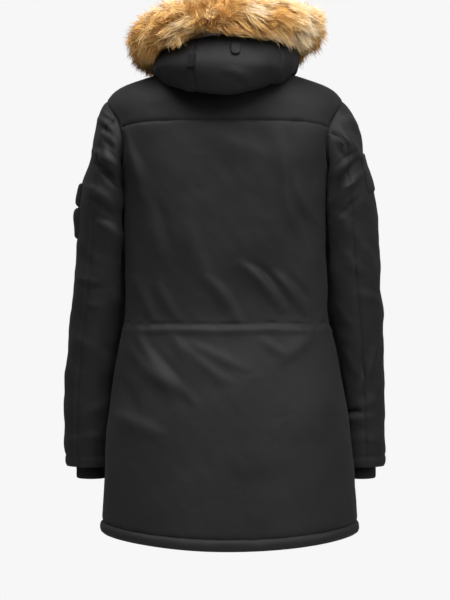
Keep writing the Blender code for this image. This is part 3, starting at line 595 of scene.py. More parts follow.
SLEEVE_CREASES = {
    Side.LEFT: rows_as(Crease, (
        (0.218, -0.086, 0.204, -0.104, 0.0045, 0.0034), (0.212, -0.100, 0.196, -0.112, 0.0045, -0.0030),
        (0.221, -0.128, 0.200, -0.134, 0.0045, 0.0036), (0.216, -0.142, 0.192, -0.158, 0.0045, -0.0034),
        (0.214, -0.160, 0.190, -0.186, 0.005, 0.0040), (0.222, -0.196, 0.192, -0.224, 0.0045, -0.0034),
        (0.228, -0.098, 0.196, -0.122, 0.007, 0.0046), (0.224, -0.112, 0.194, -0.138, 0.005, -0.0036),
        (0.203, -0.118, 0.190, -0.214, 0.008, 0.0038, 0.05),
        (0.236, -0.156, 0.186, -0.206, 0.009, 0.0068, 0.08),
        (0.232, -0.180, 0.196, -0.214, 0.007, -0.0052, 0.08),
        (0.250, -0.218, 0.196, -0.258, 0.011, 0.0050, 0.06),
        (0.240, -0.240, 0.200, -0.272, 0.007, -0.0030, 0.06),
        (0.228, -0.282, 0.182, -0.316, 0.010, 0.0052, 0.08), (0.268, -0.310, 0.226, -0.352, 0.014, 0.0030),
        (0.264, -0.381, 0.222, -0.389, 0.0055, 0.0034), (0.266, -0.391, 0.220, -0.399, 0.0055, -0.0022),
        (0.256, -0.426, 0.226, -0.431, 0.005, 0.0030), (0.206, -0.400, 0.180, -0.440, 0.011, 0.0034),
        (0.274, -0.486, 0.220, -0.528, 0.015, 0.0032, 0.04), (0.216, -0.520, 0.192, -0.580, 0.012, 0.0030),
        (0.268, -0.634, 0.214, -0.604, 0.014, 0.0032), (0.282, -0.672, 0.222, -0.662, 0.010, 0.0026),
    )),
    Side.RIGHT: rows_as(Crease, (
        (-0.200, -0.084, -0.214, -0.098, 0.0045, -0.0030), (-0.190, -0.136, -0.214, -0.150, 0.0045, 0.0036),
        (-0.188, -0.150, -0.210, -0.178, 0.005, -0.0034), (-0.190, -0.186, -0.226, -0.158, 0.0045, -0.0036),
        (-0.192, -0.224, -0.222, -0.214, 0.0045, 0.0034), (-0.194, -0.092, -0.228, -0.114, 0.008, 0.0050),
        (-0.200, -0.106, -0.232, -0.134, 0.005, -0.0034),
        (-0.198, -0.122, -0.240, -0.172, 0.009, 0.0052, -0.05),
        (-0.184, -0.206, -0.216, -0.168, 0.008, 0.0052),
        (-0.182, -0.238, -0.230, -0.176, 0.007, -0.0064, 0.05),
        (-0.186, -0.252, -0.238, -0.196, 0.009, 0.0066, 0.05),
        (-0.196, -0.272, -0.232, -0.240, 0.006, -0.0030),
        (-0.196, -0.268, -0.232, -0.310, 0.012, 0.0042, -0.05),
        (-0.232, -0.312, -0.264, -0.360, 0.012, 0.0034), (-0.206, -0.336, -0.240, -0.372, 0.010, 0.0030),
        (-0.226, -0.408, -0.272, -0.418, 0.010, 0.0034), (-0.196, -0.430, -0.226, -0.470, 0.010, 0.0028),
        (-0.270, -0.496, -0.220, -0.600, 0.012, 0.0060, 0.06),
        (-0.256, -0.500, -0.214, -0.586, 0.008, -0.0034, 0.06),
        (-0.210, -0.510, -0.236, -0.556, 0.010, 0.0030), (-0.206, -0.619, -0.242, -0.621, 0.0065, -0.0062),
        (-0.206, -0.634, -0.262, -0.630, 0.010, 0.0046), (-0.270, -0.600, -0.236, -0.612, 0.009, 0.0034),
        (-0.276, -0.676, -0.222, -0.668, 0.010, 0.0022),
    )),
}


class SleeveSkin(Skin):
    """A sleeve: the angle round the arm (0 outside, 90 degrees back) and the ring down it."""

    set_in_rings = 3  # over these the sleeve leaves the armhole's own curve
    armhole_room = 0.0006  # between the sleeve and the body at the armhole
    side_room = 0.0010  # between them further down
    side_room_ring = 4
    clear_room = 0.004  # between the body and what is furthest in of the sleeve's own rings
    side_blend = 0.002  # how softly the sleeve turns along the body, for each ring
    most_blend = 0.008
    free_ring = 9  # from here on its inner side no longer follows the body
    front_share = 0.8  # creases in front, against those behind
    front_shift = 0.012  # how much lower they lie
    inner_loss = 0.75  # of the relief, where the sleeve faces the body
    arc = 0.05  # metres of cloth to a radian
    swell_height = 0.0010
    shiver_height = 0.00025

    def __init__(self, side: Side) -> None:
        """Takes the side that the sleeve is on."""
        self.side = side
        self.facing = -side.value
        self.creases = SLEEVE_CREASES[side]
        self.swell = Ripple(21 + side.value, 0.090)
        self.shiver = Ripple(24 + side.value, 0.030)

    def point(self, u: Array, v: Array) -> Array:
        """The fanned ellipses, kept clear of the body."""
        sign = self.side.value
        outer_x, outer_z = SLEEVE["outer_" + self.side.word](v), SLEEVE["outer_z"](v)
        inner_x, inner_z = SLEEVE["inner_x"](v), SLEEVE["inner_z"](v)
        x = (outer_x + inner_x) / 2 + (outer_x - inner_x) / 2 * np.cos(u)
        y = SLEEVE["centre_y"](v) + SLEEVE["half_depth"](v) * np.sin(u)
        z = (outer_z + inner_z) / 2 + (outer_z - inner_z) / 2 * np.cos(u)
        edge = body_edge(sign, y, z)
        set_in = np.clip(1 - v / self.set_in_rings, 0, 1) ** 2
        x = (1 - set_in) * np.maximum(x, edge + self.clear_room) + set_in * (edge + self.armhole_room)
        lower = np.clip(v / self.side_room_ring, 0, 1)
        room = self.armhole_room + (self.side_room - self.armhole_room) * lower
        soft = np.clip(self.side_blend * v, 0, self.most_blend)
        x = (x + edge + room + np.sqrt((x - edge - room) ** 2 + soft**2)) / 2
        pressed = soft_step((-np.cos(u) - 0.25) / 0.5) * soft_step((self.free_ring - v) / 3)
        x = x - pressed * (x - edge - room)
        return np.stack([sign * x, y, z], -1)

    def relief(self, u: Array, v: Array) -> Array:
        """Creases behind, weaker ones in front, and a little unevenness."""
        place = self.point(u, v)
        x, z, facing = place[..., 0], place[..., 2], np.sin(u)
        behind = np.clip(0.35 + 2.2 * facing, 0, 1) * all_of(self.creases, x, z)
        shifted = all_of(self.creases, x, z + self.front_shift)
        front = np.clip(0.15 - 2.2 * facing, 0, 1) * self.front_share * shifted
        around = u * self.arc
        uneven = self.swell_height * self.swell(around, z) + self.shiver_height * self.shiver(around, z)
        fade = soft_step(v / 1.5) * soft_step((LAST_RING - v) / 0.8)
        inwards = soft_step(0.5 - 0.8 * np.cos(u))
        return (behind + front + uneven) * fade * (1 - self.inner_loss * inwards * (facing < 0.5))


@dataclass(frozen=True)
class HoodSection:
    """A section of the hood at a turn round the neck, 0 behind and + to the wearer's left.

    It gives the fold that hangs lowest, the crown that stands out furthest, and the middle of the fur roll.
    """

    turn: float
    fold_reach: float
    fold_z: float
    crown_reach: float
    crown_z: float
    fur_reach: float
    fur_z: float


HOOD_SECTIONS = rows_as(HoodSection, (
    (-172, 0.112, -0.066, 0.124, -0.062, 0.126, -0.018), (-130, 0.106, -0.042, 0.124, -0.037, 0.132, 0.038),
    (-90, 0.112, -0.022, 0.128, -0.008, 0.134, 0.064), (-60, 0.126, -0.033, 0.146, -0.010, 0.148, 0.060),
    (-40, 0.144, -0.048, 0.174, -0.018, 0.162, 0.060), (0, 0.155, -0.071, 0.188, -0.030, 0.166, 0.066),
    (40, 0.146, -0.052, 0.172, -0.022, 0.158, 0.048), (60, 0.124, -0.036, 0.144, -0.019, 0.145, 0.038),
    (90, 0.108, -0.022, 0.124, -0.018, 0.128, 0.031), (130, 0.106, -0.042, 0.122, -0.036, 0.129, 0.020),
    (172, 0.112, -0.066, 0.124, -0.062, 0.126, -0.018),
))
HOOD = columns_of(HOOD_SECTIONS, "turn")
FUR_RADIUS = 0.036

# These run in hundreds of degrees round the neck, and from the neck seam (0) to the rim (1).
HOOD_CREASES = rows_as(Crease, (
    (0.000, 0.735, -0.135, 0.640, 0.030, 0.0034, 0.10), (0.010, 0.690, -0.120, 0.590, 0.022, -0.0018, 0.10),
    (0.260, 0.560, 0.190, 0.420, 0.030, 0.0026), (-0.300, 0.760, -0.420, 0.520, 0.030, 0.0032, -0.05),
    (-0.250, 0.600, -0.380, 0.420, 0.026, -0.0020), (0.420, 0.780, 0.520, 0.600, 0.040, 0.0028),
    (0.140, 0.880, 0.200, 0.660, 0.030, 0.0020), (-0.120, 0.500, 0.100, 0.440, 0.040, 0.0022),
    (0.700, 0.750, 0.820, 0.500, 0.050, 0.0030), (-0.700, 0.750, -0.820, 0.500, 0.050, 0.0030),
))


class HoodSkin(Skin):
    """The hood's outer side: a turn round the neck, and a row from the neck seam (0) to the rim (1)."""

    facing = -1
    seam_out = 0.008  # the hood's edge lies this far outside the neck seam
    seam_drop = 0.002  # and this far below it
    seam_gap = 0.0009  # over the shoulders, at its edge
    lying_gap = 0.0032  # and from the row below on
    lying_row = 0.2
    arc = 0.18  # metres of cloth to a radian
    row_length = 0.2
    swell_height = 0.0012
    shiver_height = 0.0003
    swell = Ripple(31, 0.110)
    shiver = Ripple(32, 0.035)

    def point(self, u: Array, v: Array) -> Array:
        """The fanned sections, kept over the shoulders."""
        degrees = np.degrees(u)
        neck = BODY_SKIN.point(BACK - u, NECK.height(BACK - u))
        neck_reach = np.hypot(neck[..., 0] - NECK_CENTRE_X, neck[..., 1]) + self.seam_out
        neck_z = neck[..., 2] - self.seam_drop
        fold_reach, fold_z = HOOD["fold_reach"](degrees), HOOD["fold_z"](degrees)
        crown_reach, crown_z = HOOD["crown_reach"](degrees), HOOD["crown_z"](degrees)
        rim_z = HOOD["fur_z"](degrees) - FUR_RADIUS - LIE_GAP
        half_reach, half_z = (neck_reach + fold_reach) / 2, (neck_z + fold_z) / 2
        reach = through([neck_reach, half_reach, fold_reach, crown_reach, HOOD["fur_reach"](degrees)], v)
        z = through([neck_z, half_z, fold_z, crown_z, rim_z], v)
        x = NECK_CENTRE_X + reach * np.sin(u)
        y = reach * np.cos(u)
        gap = self.seam_gap + (self.lying_gap - self.seam_gap) * np.clip(v / self.lying_row, 0, 1)
        return np.stack([x, y, np.maximum(z, shoulder_height(x, y) + gap)], -1)

    def relief(self, u: Array, v: Array) -> Array:
        """Soft creases over the crown, fading towards the neck and the rim."""
        fade = soft_step((v - 0.35) / 0.2) * soft_step((1 - v) / 0.08)
        around, down = u * self.arc, v * self.row_length
        uneven = self.swell_height * self.swell(around, down) + self.shiver_height * self.shiver(around, down)
        return (all_of(HOOD_CREASES, np.degrees(u) / 100, v) + uneven) * fade


class CollarSkin(Skin):
    """The stand-up collar: the angle round the neck and the share of its height."""

    height = 0.050
    lean = 0.10  # how much narrower it is at its top
    swell = Ripple(41, 0.060)

    def point(self, u: Array, v: Array) -> Array:
        """The neck seam's points, raised and drawn in."""
        neck = BODY_SKIN.point(u, NECK.height(u))
        lean = 1 - self.lean * v
        x = NECK_CENTRE_X + (neck[..., 0] - NECK_CENTRE_X) * lean
        return np.stack([x, neck[..., 1] * lean, neck[..., 2] + LIE_GAP + self.height * v], -1)

    def relief(self, u: Array, v: Array) -> Array:
        """Soft unevenness."""
        return 0.0007 * self.swell(u * 0.07, v * 0.05)


BODY_SKIN = BodySkin()
HOOD_SKIN = HoodSkin()
COLLAR_SKIN = CollarSkin()
SLEEVE_SKINS = {side: SleeveSkin(side) for side in Side}


# ---------------------------------------------------------------- meshes


def mesh_of(
    name: str, vertices: Array, faces: Array, uvs: dict[str, Array] | None = None
) -> bpy.types.Object:
    """An object made from arrays.

    Args:
        name: its name.
        vertices: its points.
        faces: corner indices, a row for each face, all with as many corners.
        uvs: for each UV map's name, a pair of numbers for each vertex.

    Returns:
        The object, linked to the scene and shaded smooth.
    """
    mesh = bpy.data.meshes.new(name)
    mesh.vertices.add(len(vertices))
    mesh.vertices.foreach_set("co", np.asarray(vertices, np.float32).ravel())
    corners = np.asarray(faces, np.int32)
    mesh.loops.add(corners.size)
    mesh.loops.foreach_set("vertex_index", corners.ravel())
    mesh.polygons.add(len(corners))
    mesh.polygons.foreach_set("loop_start", np.arange(0, corners.size, corners.shape[1], dtype=np.int32))
    mesh.update(calc_edges=True)
    for map_name, places in (uvs or {}).items():
        layer = mesh.uv_layers.new(name=map_name)
        layer.data.foreach_set("uv", np.asarray(places, np.float32)[corners.ravel()].ravel())
    mesh.validate()
    mesh.shade_smooth()
    made = bpy.data.objects.new(name, mesh)
    bpy.context.scene.collection.objects.link(made)
    return made


def turned_out(vertices: Array, faces: Array) -> Array:
    """A closed body's quads, all turned round if they face inwards."""
    a, b, c, d = (vertices[faces[:, i]] for i in range(4))
    volume = np.einsum("ij,ij->i", a, np.cross(b, c)) + np.einsum("ij,ij->i", a, np.cross(c, d))
    return faces if volume.sum() > 0 else faces[:, ::-1]


def wall_faces(rows: int, columns: int, closed: bool) -> Array:
    """Quads of a wall between two grids of points, the outer one first.

    Args:
        rows: of each grid.
        columns: of each grid.
        closed: whether the grid goes once round.

    Returns:
        Four corner indices for each quad.
    """
    count = rows * columns
    spans = columns if closed else columns - 1
    row, column = np.meshgrid(np.arange(rows - 1), np.arange(spans), indexing="ij")
    a = (row * columns + column).ravel()
    b = (row * columns + (column + 1) % columns).ravel()
    parts = [
        np.stack([a, b, b + columns, a + columns], 1),
        np.stack([a + count, a + columns + count, b + columns + count, b + count], 1),
    ]
    a, b = np.arange(spans), (np.arange(spans) + 1) % columns
    parts.append(np.stack([a, a + count, b + count, b], 1))
    a, b = a + (rows - 1) * columns, b + (rows - 1) * columns
    parts.append(np.stack([a, b, b + count, a + count], 1))
    if not closed:
        a = np.arange(rows - 1) * columns
        parts.append(np.stack([a, a + columns, a + columns + count, a + count], 1))
        a = a + columns - 1
        parts.append(np.stack([a, a + count, a + columns + count, a + columns], 1))
    return np.concatenate(parts)


def tube_faces(rings: int, corners: int, closed: bool) -> Array:
    """Quads of a tube made of rings of points; a closed one joins its last ring to its first."""
    row, column = np.meshgrid(np.arange(rings if closed else rings - 1), np.arange(corners), indexing="ij")
    row, column = row.ravel(), column.ravel()
    after, beside = (row + 1) % rings * corners, (column + 1) % corners
    row = row * corners
    return np.stack([row + column, row + beside, after + beside, after + column], 1)


def rings_round(line: Array, out: Array, up: Array, radius: Array | float, turns: Array) -> Array:
    """Rings of points round a line.

    Args:
        line: the line's points.
        out: at each of them, the direction in which its ring starts.
        up: the direction a quarter of the way round.
        radius: of the rings.
        turns: angles round a ring.

    Returns:
        A ring of points for each point of the line.
    """
    turns = turns[None, :, None]
    return line[:, None] + radius * (out[:, None] * np.cos(turns) + up * np.sin(turns))


def lengths(points: Array, axis: int) -> Array:
    """Distance along one direction of a grid of points, from its first row or column."""
    steps = np.linalg.norm(np.diff(points, axis=axis), axis=-1)
    start = np.zeros_like(np.take(steps, [0], axis=axis))
    return np.concatenate([start, np.cumsum(steps, axis=axis)], axis=axis)


@dataclass(frozen=True)
class Edges:
    """How the four edges of a panel are finished."""

    top: Edge = Edge.SEWN
    bottom: Edge = Edge.SEWN
    first: Edge = Edge.SEWN
    last: Edge = Edge.SEWN
    depth: float = 0.0024  # how far a sewn edge rolls down
    width: float = 0.0036  # over what distance
    pucker: float = 0.30  # how uneven the roll is
    pucker_length: float = 0.016
    lip: float = 0.0030  # how far a sewn edge reaches under its neighbour
    round_depth: float = 0.0018  # of a turned edge
    round_width: float = 0.0025

    def fall(self, points: Array) -> Array:
        """How far each point of a panel's outer face lies below its skin.

        Args:
            points: the face's grid of points.

        Returns:
            A depth for each point.
        """
        down, across = lengths(points, 0), lengths(points, 1)
        ripple = Ripple(61, self.pucker_length)
        total = np.zeros(down.shape)
        near = (
            (self.top, down, across),
            (self.bottom, down[-1:] - down, across),
            (self.first, across, down),
            (self.last, across[:, -1:] - across, down),
        )
        for finish, distance, along in near:
            if finish is Edge.SEWN:
                uneven = 1 + self.pucker * ripple(along, distance * 0.3)
                total = np.maximum(total, self.depth * uneven * np.exp(-((distance / self.width) ** 1.3)))
            elif finish is Edge.TURNED:
                total = np.maximum(total, self.round_depth * bump(distance, self.round_width))
        return total


ALL_TURNED = Edges(Edge.TURNED, Edge.TURNED, Edge.TURNED, Edge.TURNED)
ALL_PLAIN = Edges(Edge.PLAIN, Edge.PLAIN, Edge.PLAIN, Edge.PLAIN)


def lipped(points: Array, normals: Array, edges: Edges, drop: float) -> Array:
    """A face with one more line of points beyond each sewn edge, which reaches under the next panel.

    Args:
        points: the face's grid of points.
        normals: their normals.
        edges: how the panel's edges are finished.
        drop: how much deeper the new points lie.

    Returns:
        The larger grid of points.
    """
    sides = ((edges.top, 0, 0, 1), (edges.bottom, 0, -1, -2), (edges.first, 1, 0, 1), (edges.last, 1, -1, -2))
    for finish, axis, end, before in sides:
        if finish is not Edge.SEWN:
            continue
        edge, up = np.take(points, [end], axis), np.take(normals, [end], axis)
        lip = edge + edges.lip * unit(edge - np.take(points, [before], axis)) - drop * up
        points = np.concatenate([points, lip] if end else [lip, points], axis)
        normals = np.concatenate([normals, up] if end else [up, normals], axis)
    return points


def shell(
    name: str,
    skin: Skin,
    grid: Grid,
    edges: Edges,
    outside: Array | float = 0.0,
    inside: Array | float = -WALL,
    closed: bool = False,
) -> bpy.types.Object:
    """A closed piece of padded cloth on a skin.

    Args:
        name: the piece's name.
        skin: what it lies on.
        grid: the skin's two coordinates at each of its points.
        edges: how its edges are finished.
        outside: height of its outer face over the skin.
        inside: height of its inner face over the skin.
        closed: whether it goes once round.

    Returns:
        The piece, with a UV map in metres of cloth.
    """
    u, v = grid
    plain = skin.point(u, v)
    normal = skin.normal(u, v)
    relief = skin.relief(u, v)
    fall = edges.fall(plain)
    outer = lipped(plain + normal * (relief + outside - fall)[..., None], normal, edges, LIP_DROP)
    inner = lipped(plain + normal * (relief + inside)[..., None], normal, edges, 0.0)
    flat = lipped(plain, normal, edges, 0.0)
    vertices = np.concatenate([outer.reshape(-1, 3), inner.reshape(-1, 3)])
    faces = turned_out(vertices, wall_faces(*flat.shape[:2], closed))
    across = lengths(flat, 1)
    cloth = np.stack([across - across.mean(axis=1, keepdims=True), -lengths(flat, 0)], -1).reshape(-1, 2)
    made = mesh_of(name, vertices, faces, {"cloth": np.concatenate([cloth, cloth])})
    made.data.set_sharp_from_angle(angle=SHARP_ANGLE)
    return made


def joined(name: str, parts: Sequence[tuple[Array, Array]]) -> bpy.types.Object:
    """One object from several bodies, each given as its points and its quads."""
    vertices, faces, start = [], [], 0
    for points, quads in parts:
        vertices.append(points)
        faces.append(quads + start)
        start += len(points)
    return mesh_of(name, np.concatenate(vertices), np.concatenate(faces))


def place(piece: bpy.types.Object, slot: Slot, finish: bpy.types.Material, *nodes: str) -> bpy.types.Object:
    """Gives a piece its finish, hangs it under the root and hides the solids that it replaces.

    Args:
        piece: the piece, in place.
        slot: the record's slot that it takes its finish from; not used.
        finish: its material.
        nodes: the solids that it replaces.

    Returns:
        The piece.
    """
    piece.data.materials.append(finish)
    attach(piece, "root")
    if nodes:
        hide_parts(*nodes)
    LOG.info("%s: %d faces", piece.name, len(piece.data.polygons))
    return piece


# ---------------------------------------------------------------- sewing


@dataclass(frozen=True)
class Thread:
    """Topstitching thread and the way that it is sewn.

    Args:
        radius: of the thread.
        stitch: length of one stitch.
        pitch: from one stitch to the next.
        sink: how deep the thread's ends lie in the cloth.
        end_share: of the thread's radius, at a stitch's ends.
    """

    radius: float = 0.00042
    stitch: float = 0.0030
    pitch: float = 0.0042
    sink: float = 0.00035
    end_share: float = 0.45

    def run(self, skin: Skin, u: Array | float, v: Array | float, lift: float = 0.0) -> tuple[Array, Array]:
        """One line of stitches on a skin.

        Args:
            skin: what is sewn.
            u: the line's first coordinate, from its start to its end, or one number all along it.
            v: its second coordinate, in the same way.
            lift: height of the cloth's face over the skin's relief.

        Returns:
            The stitches' points and quads.
        """
        u, v = np.broadcast_arrays(np.asarray(u, float), np.asarray(v, float))
        path = skin.raised(u, v, lift)
        normals = skin.normal(u, v)
        along = np.concatenate([[0.0], np.cumsum(np.linalg.norm(np.diff(path, axis=0), axis=1))])
        starts = np.arange(self.pitch / 2, along[-1] - self.stitch, self.pitch)
        places = np.stack([starts, starts + self.stitch / 2, starts + self.stitch], 1)

        def read(values: Array) -> Array:
            """The path's values at each stitch's start, middle and end."""
            return np.stack([np.interp(places, along, values[:, i]) for i in range(3)], -1)

        middle, up = read(path), read(normals)
        aside = np.cross(up, unit(middle[:, 2:] - middle[:, :1]))
        thick = self.radius * np.array([self.end_share, 1.0, self.end_share])[None, :, None]
        rise = np.array([-self.sink, self.radius * 0.5, -self.sink])[None, :, None]
        centre, aside, over = middle + up * rise, aside * thick, up * thick
        rings = np.stack([centre + aside, centre + over, centre - aside, centre - over], 2)
        one = np.concatenate([tube_faces(3, 4, False), [[3, 2, 1, 0]], [[8, 9, 10, 11]]])
        faces = (one[None] + 12 * np.arange(len(starts))[:, None, None]).reshape(-1, 4)
        return rings.reshape(-1, 3), faces


Runs = list[tuple[Array, Array]]
THREAD = Thread()
LINE_POINTS = 260  # of a line that is sewn


def straight(start: float, end: float, count: int = LINE_POINTS) -> Array:
    """Evenly spaced numbers along a line that is sewn."""
    return np.linspace(start, end, count)


# ---------------------------------------------------------------- finishes


Socket = bpy.types.NodeSocket
Tree = bpy.types.NodeTree
Colour = tuple[float, float, float]
FLOAT, VECTOR = "NodeSocketFloat", "NodeSocketVector"


def fill(tree: Tree, node: bpy.types.Node, values: dict[Any, Any]) -> None:
    """Links or sets a node's inputs.

    Args:
        tree: the node tree.
        node: the node.
        values: for each input, by name or number, the socket linked to it or its value.
    """
    for key, value in values.items():
        if isinstance(value, Socket):
            tree.links.new(value, node.inputs[key])
        else:
            node.inputs[key].default_value = value


def add_node(tree: Tree, kind: str, values: dict[Any, Any], **settings: Any) -> bpy.types.NodeOutputs:
    """Adds a node to a tree.

    Args:
        tree: the node tree.
        kind: the node's type, without the word that all types start with.
        values: for each input, by name or number, the socket linked to it or its value.
        settings: the node's own settings.

    Returns:
        The node's outputs.
    """
    made = tree.nodes.new("ShaderNode" + kind)
    for name, value in settings.items():
        setattr(made, name, value)
    fill(tree, made, values)
    return made.outputs


def worked_out(tree: Tree, operation: str, *values: Socket | float) -> Socket:
    """A number worked out from others."""
    return add_node(tree, "Math", dict(enumerate(values)), operation=operation)[0]


def moved(tree: Tree, value: Socket, start: Sequence[float], end: Sequence[Socket | float]) -> Socket:
    """A number moved from one range to another and kept inside it."""
    return add_node(tree, "MapRange", {0: value, 1: start[0], 2: start[1], 3: end[0], 4: end[1]})[0]


def mixed(tree: Tree, share: Socket | float, first: Any, second: Any, blend_type: str = "MIX") -> Socket:
    """A mix of two colours."""
    values = {0: share, 6: first, 7: second}
    return add_node(tree, "Mix", values, data_type="RGBA", blend_type=blend_type)[2]


class Group:
    """A shader node group with named inputs and outputs."""

    def __init__(self, name: str, inputs: dict[str, str], *outputs: str) -> None:
        """Makes the group.

        Args:
            name: the effect's name.
            inputs: socket type of each input's name.
            outputs: names of the numbers that it gives.
        """
        self.tree = bpy.data.node_groups.new(name, "ShaderNodeTree")
        for label, kind in inputs.items():
            self.tree.interface.new_socket(name=label, in_out="INPUT", socket_type=kind)
        for label in outputs:
            self.tree.interface.new_socket(name=label, in_out="OUTPUT", socket_type=FLOAT)
        self.given = self.tree.nodes.new("NodeGroupInput").outputs
        self.result = self.tree.nodes.new("NodeGroupOutput")


def woven_face() -> Tree:
    """The over and under of a plain weave, from a place in metres of cloth and the threads' pitch.

    Returns:
        A group with Place and Pitch in, and Height and Slub out.
    """
    group = Group("woven_face", {"Place": VECTOR, "Pitch": FLOAT}, "Height", "Slub")
    tree, place = group.tree, group.given["Place"]
    turns = worked_out(tree, "DIVIDE", math.pi, group.given["Pitch"])
    split = add_node(tree, "SeparateXYZ", {0: place})
    waves = []
    for axis in ("X", "Y"):
        phase = worked_out(tree, "MULTIPLY", split[axis], turns)
        waves.append(worked_out(tree, "SINE", phase))
    height = worked_out(tree, "MULTIPLY_ADD", worked_out(tree, "MULTIPLY", *waves), 0.5, 0.5)
    drawn_out = add_node(tree, "VectorMath", {0: place, 1: (240, 1400, 1)}, operation="MULTIPLY")[0]
    slub = add_node(tree, "TexNoise", {"Vector": drawn_out, "Scale": 1.0, "Detail": 2.0})[0]
    fill(tree, group.result, {"Height": height, "Slub": slub})
    return tree


def soft_crumple() -> Tree:
    """Small soft dents of padded cloth and a slow drift of its tone, from a place in metres.

    Returns:
        A group with Place in, and Dents and Drift out.
    """
    group = Group("soft_crumple", {"Place": VECTOR}, "Dents", "Drift")
    tree, place = group.tree, group.given["Place"]
    close = {"Vector": place, "Scale": 20.0, "Detail": 2.5, "Roughness": 0.40, "Distortion": 0.5}
    wide = {"Vector": place, "Scale": 9.0, "Detail": 2.0}
    dents, drift = add_node(tree, "TexNoise", close)[0], add_node(tree, "TexNoise", wide)[0]
    fill(tree, group.result, {"Dents": dents, "Drift": drift})
    return tree


def principled(name: str) -> tuple[bpy.types.Material, Tree, bpy.types.Node]:
    """A new material, its node tree and its Principled shader."""
    made = bpy.data.materials.new(name)
    made.use_nodes = True
    return made, made.node_tree, made.node_tree.nodes["Principled BSDF"]


@dataclass(frozen=True)
class ClothFinish:
    """A woven or knitted cloth.

    Args:
        name: its name.
        dark: its darker colour, where the threads' slub and the slow drift are low.
        light: its lighter colour, where they are high.
        roughness: of its face.
        sheen: how strongly its nap catches light.
        pitch: of its threads, in metres.
        weave: height of the weave.
        dents: height of its soft dents.
        uneven: how far its roughness drifts to both sides.
    """

    name: str
    dark: Colour
    light: Colour
    roughness: float = 0.62
    sheen: float = 0.015
    pitch: float = 0.0011
    weave: float = 0.00012
    dents: float = 0.0020
    uneven: float = 0.06

    def material(self, weave: Tree, crumple: Tree) -> bpy.types.Material:
        """The material.

        Args:
            weave: the group made by woven_face.
            crumple: the group made by soft_crumple.

        Returns:
            A Principled material with the weave, dents and drift of tone.
        """
        made, tree, shader = principled(self.name)
        cloth = add_node(tree, "UVMap", {}, uv_map="cloth")[0]
        place = add_node(tree, "TexCoord", {})["Object"]
        woven = add_node(tree, "Group", {"Pitch": self.pitch, "Place": cloth}, node_tree=weave)
        dented = add_node(tree, "Group", {"Place": place}, node_tree=crumple)
        tone = worked_out(tree, "ADD", woven["Slub"], dented["Drift"])
        share = moved(tree, tone, (0.65, 1.35), (0.0, 1.0))
        limits = (self.roughness - self.uneven, self.roughness + self.uneven)
        soft = {"Height": dented["Dents"], "Distance": self.dents, "Strength": 1.0}
        fine = {"Height": woven["Height"], "Distance": self.weave, "Strength": 0.8}
        fine["Normal"] = add_node(tree, "Bump", soft)[0]
        fill(tree, shader, {
            "Base Color": mixed(tree, share, (*self.dark, 1), (*self.light, 1)),
            "Roughness": moved(tree, dented["Drift"], (0.3, 0.7), limits),
            "Normal": add_node(tree, "Bump", fine)[0],
            "Sheen Weight": self.sheen,
            "Sheen Roughness": 0.45,
            "Specular IOR Level": 0.18,
        })
        made.diffuse_color = (*self.light, 1)
        return made


@dataclass(frozen=True)
class FurFinish:
    """Long imitation fur whose colour runs along each hair.

    A hair's tone is the first number of its UV place, from brown to cream, and its share from root to
    tip is the second.

    Args:
        name: its name.
        tones: the colour at the middle of a hair, for rising tones.
        tip: colour of the tips of all but the palest hairs.
        root_shade: painted shade, how dark a hair's colour is made at its root, for the shade deep in the
            pile.
        root_end: the share of a hair at which that painted shade has gone.
        tip_run: the shares of a hair between which its tip's colour comes in.
        tipped_tones: the tones between which the tips lose their own colour.
        most_tip: how strong that colour is at most.
    """

    name: str
    tones: tuple[tuple[float, Colour], ...]
    tip: Colour
    # painted shade at each hair's root, for the shade deep in the pile
    root_shade: float = 0.72
    root_end: float = 0.6
    tip_run: tuple[float, float] = (0.68, 0.97)
    tipped_tones: tuple[float, float] = (0.42, 0.66)
    most_tip: float = 0.9

    def material(self) -> bpy.types.Material:
        """A Principled material for the hairs."""
        made, tree, shader = principled(self.name)
        place = add_node(tree, "UVMap", {}, uv_map="OFBake")[0]
        split = add_node(tree, "SeparateXYZ", {0: place})
        tone = add_node(tree, "ValToRGB", {0: split["X"]})[0]
        elements = tone.node.color_ramp.elements
        while len(elements) < len(self.tones):
            elements.new(0.5)
        for element, (position, colour) in zip(elements, self.tones):
            element.position = position
            element.color = (*colour, 1)
        # Painted shade: each hair's colour darkens towards its root, for the shade deep in the pile.
        shade = moved(tree, split["Y"], (0.0, self.root_end), (self.root_shade, 1.0))
        shaded = mixed(tree, 1.0, tone, shade, "MULTIPLY")
        near_tip = moved(tree, split["Y"], self.tip_run, (0.0, 1.0))
        dark_tone = moved(tree, split["X"], self.tipped_tones, (self.most_tip, 0.0))
        tipped = worked_out(tree, "MULTIPLY", near_tip, dark_tone)
        fill(tree, shader, {
            "Base Color": mixed(tree, tipped, shaded, (*self.tip, 1)),
            "Roughness": 0.5,
            "Specular IOR Level": 0.16,
            "Sheen Weight": 0.05,
        })
        made.diffuse_color = (*self.tones[len(self.tones) // 2][1], 1)
        return made


@dataclass(frozen=True)
class HardFinish:
    """A lacquered metal or smooth thread with fine wear in its gloss."""

    name: str
    colour: Colour
    roughness: float
    metallic: float
    closer: float = 12.0  # how much finer the wear is than the dents of cloth

    def material(self, crumple: Tree) -> bpy.types.Material:
        """A Principled material whose gloss drifts over the surface."""
        made, tree, shader = principled(self.name)
        place = add_node(tree, "TexCoord", {})["Object"]
        fine = add_node(tree, "VectorMath", {0: place, "Scale": self.closer}, operation="SCALE")[0]
        worn = add_node(tree, "Group", {"Place": fine}, node_tree=crumple)
        limits = (self.roughness - 0.1, self.roughness + 0.12)
        fill(tree, shader, {
            "Roughness": moved(tree, worn["Dents"], (0.3, 0.7), limits),
            "Base Color": (*self.colour, 1),
            "Metallic": self.metallic,
        })
        made.diffuse_color = (*self.colour, 1)
        return made


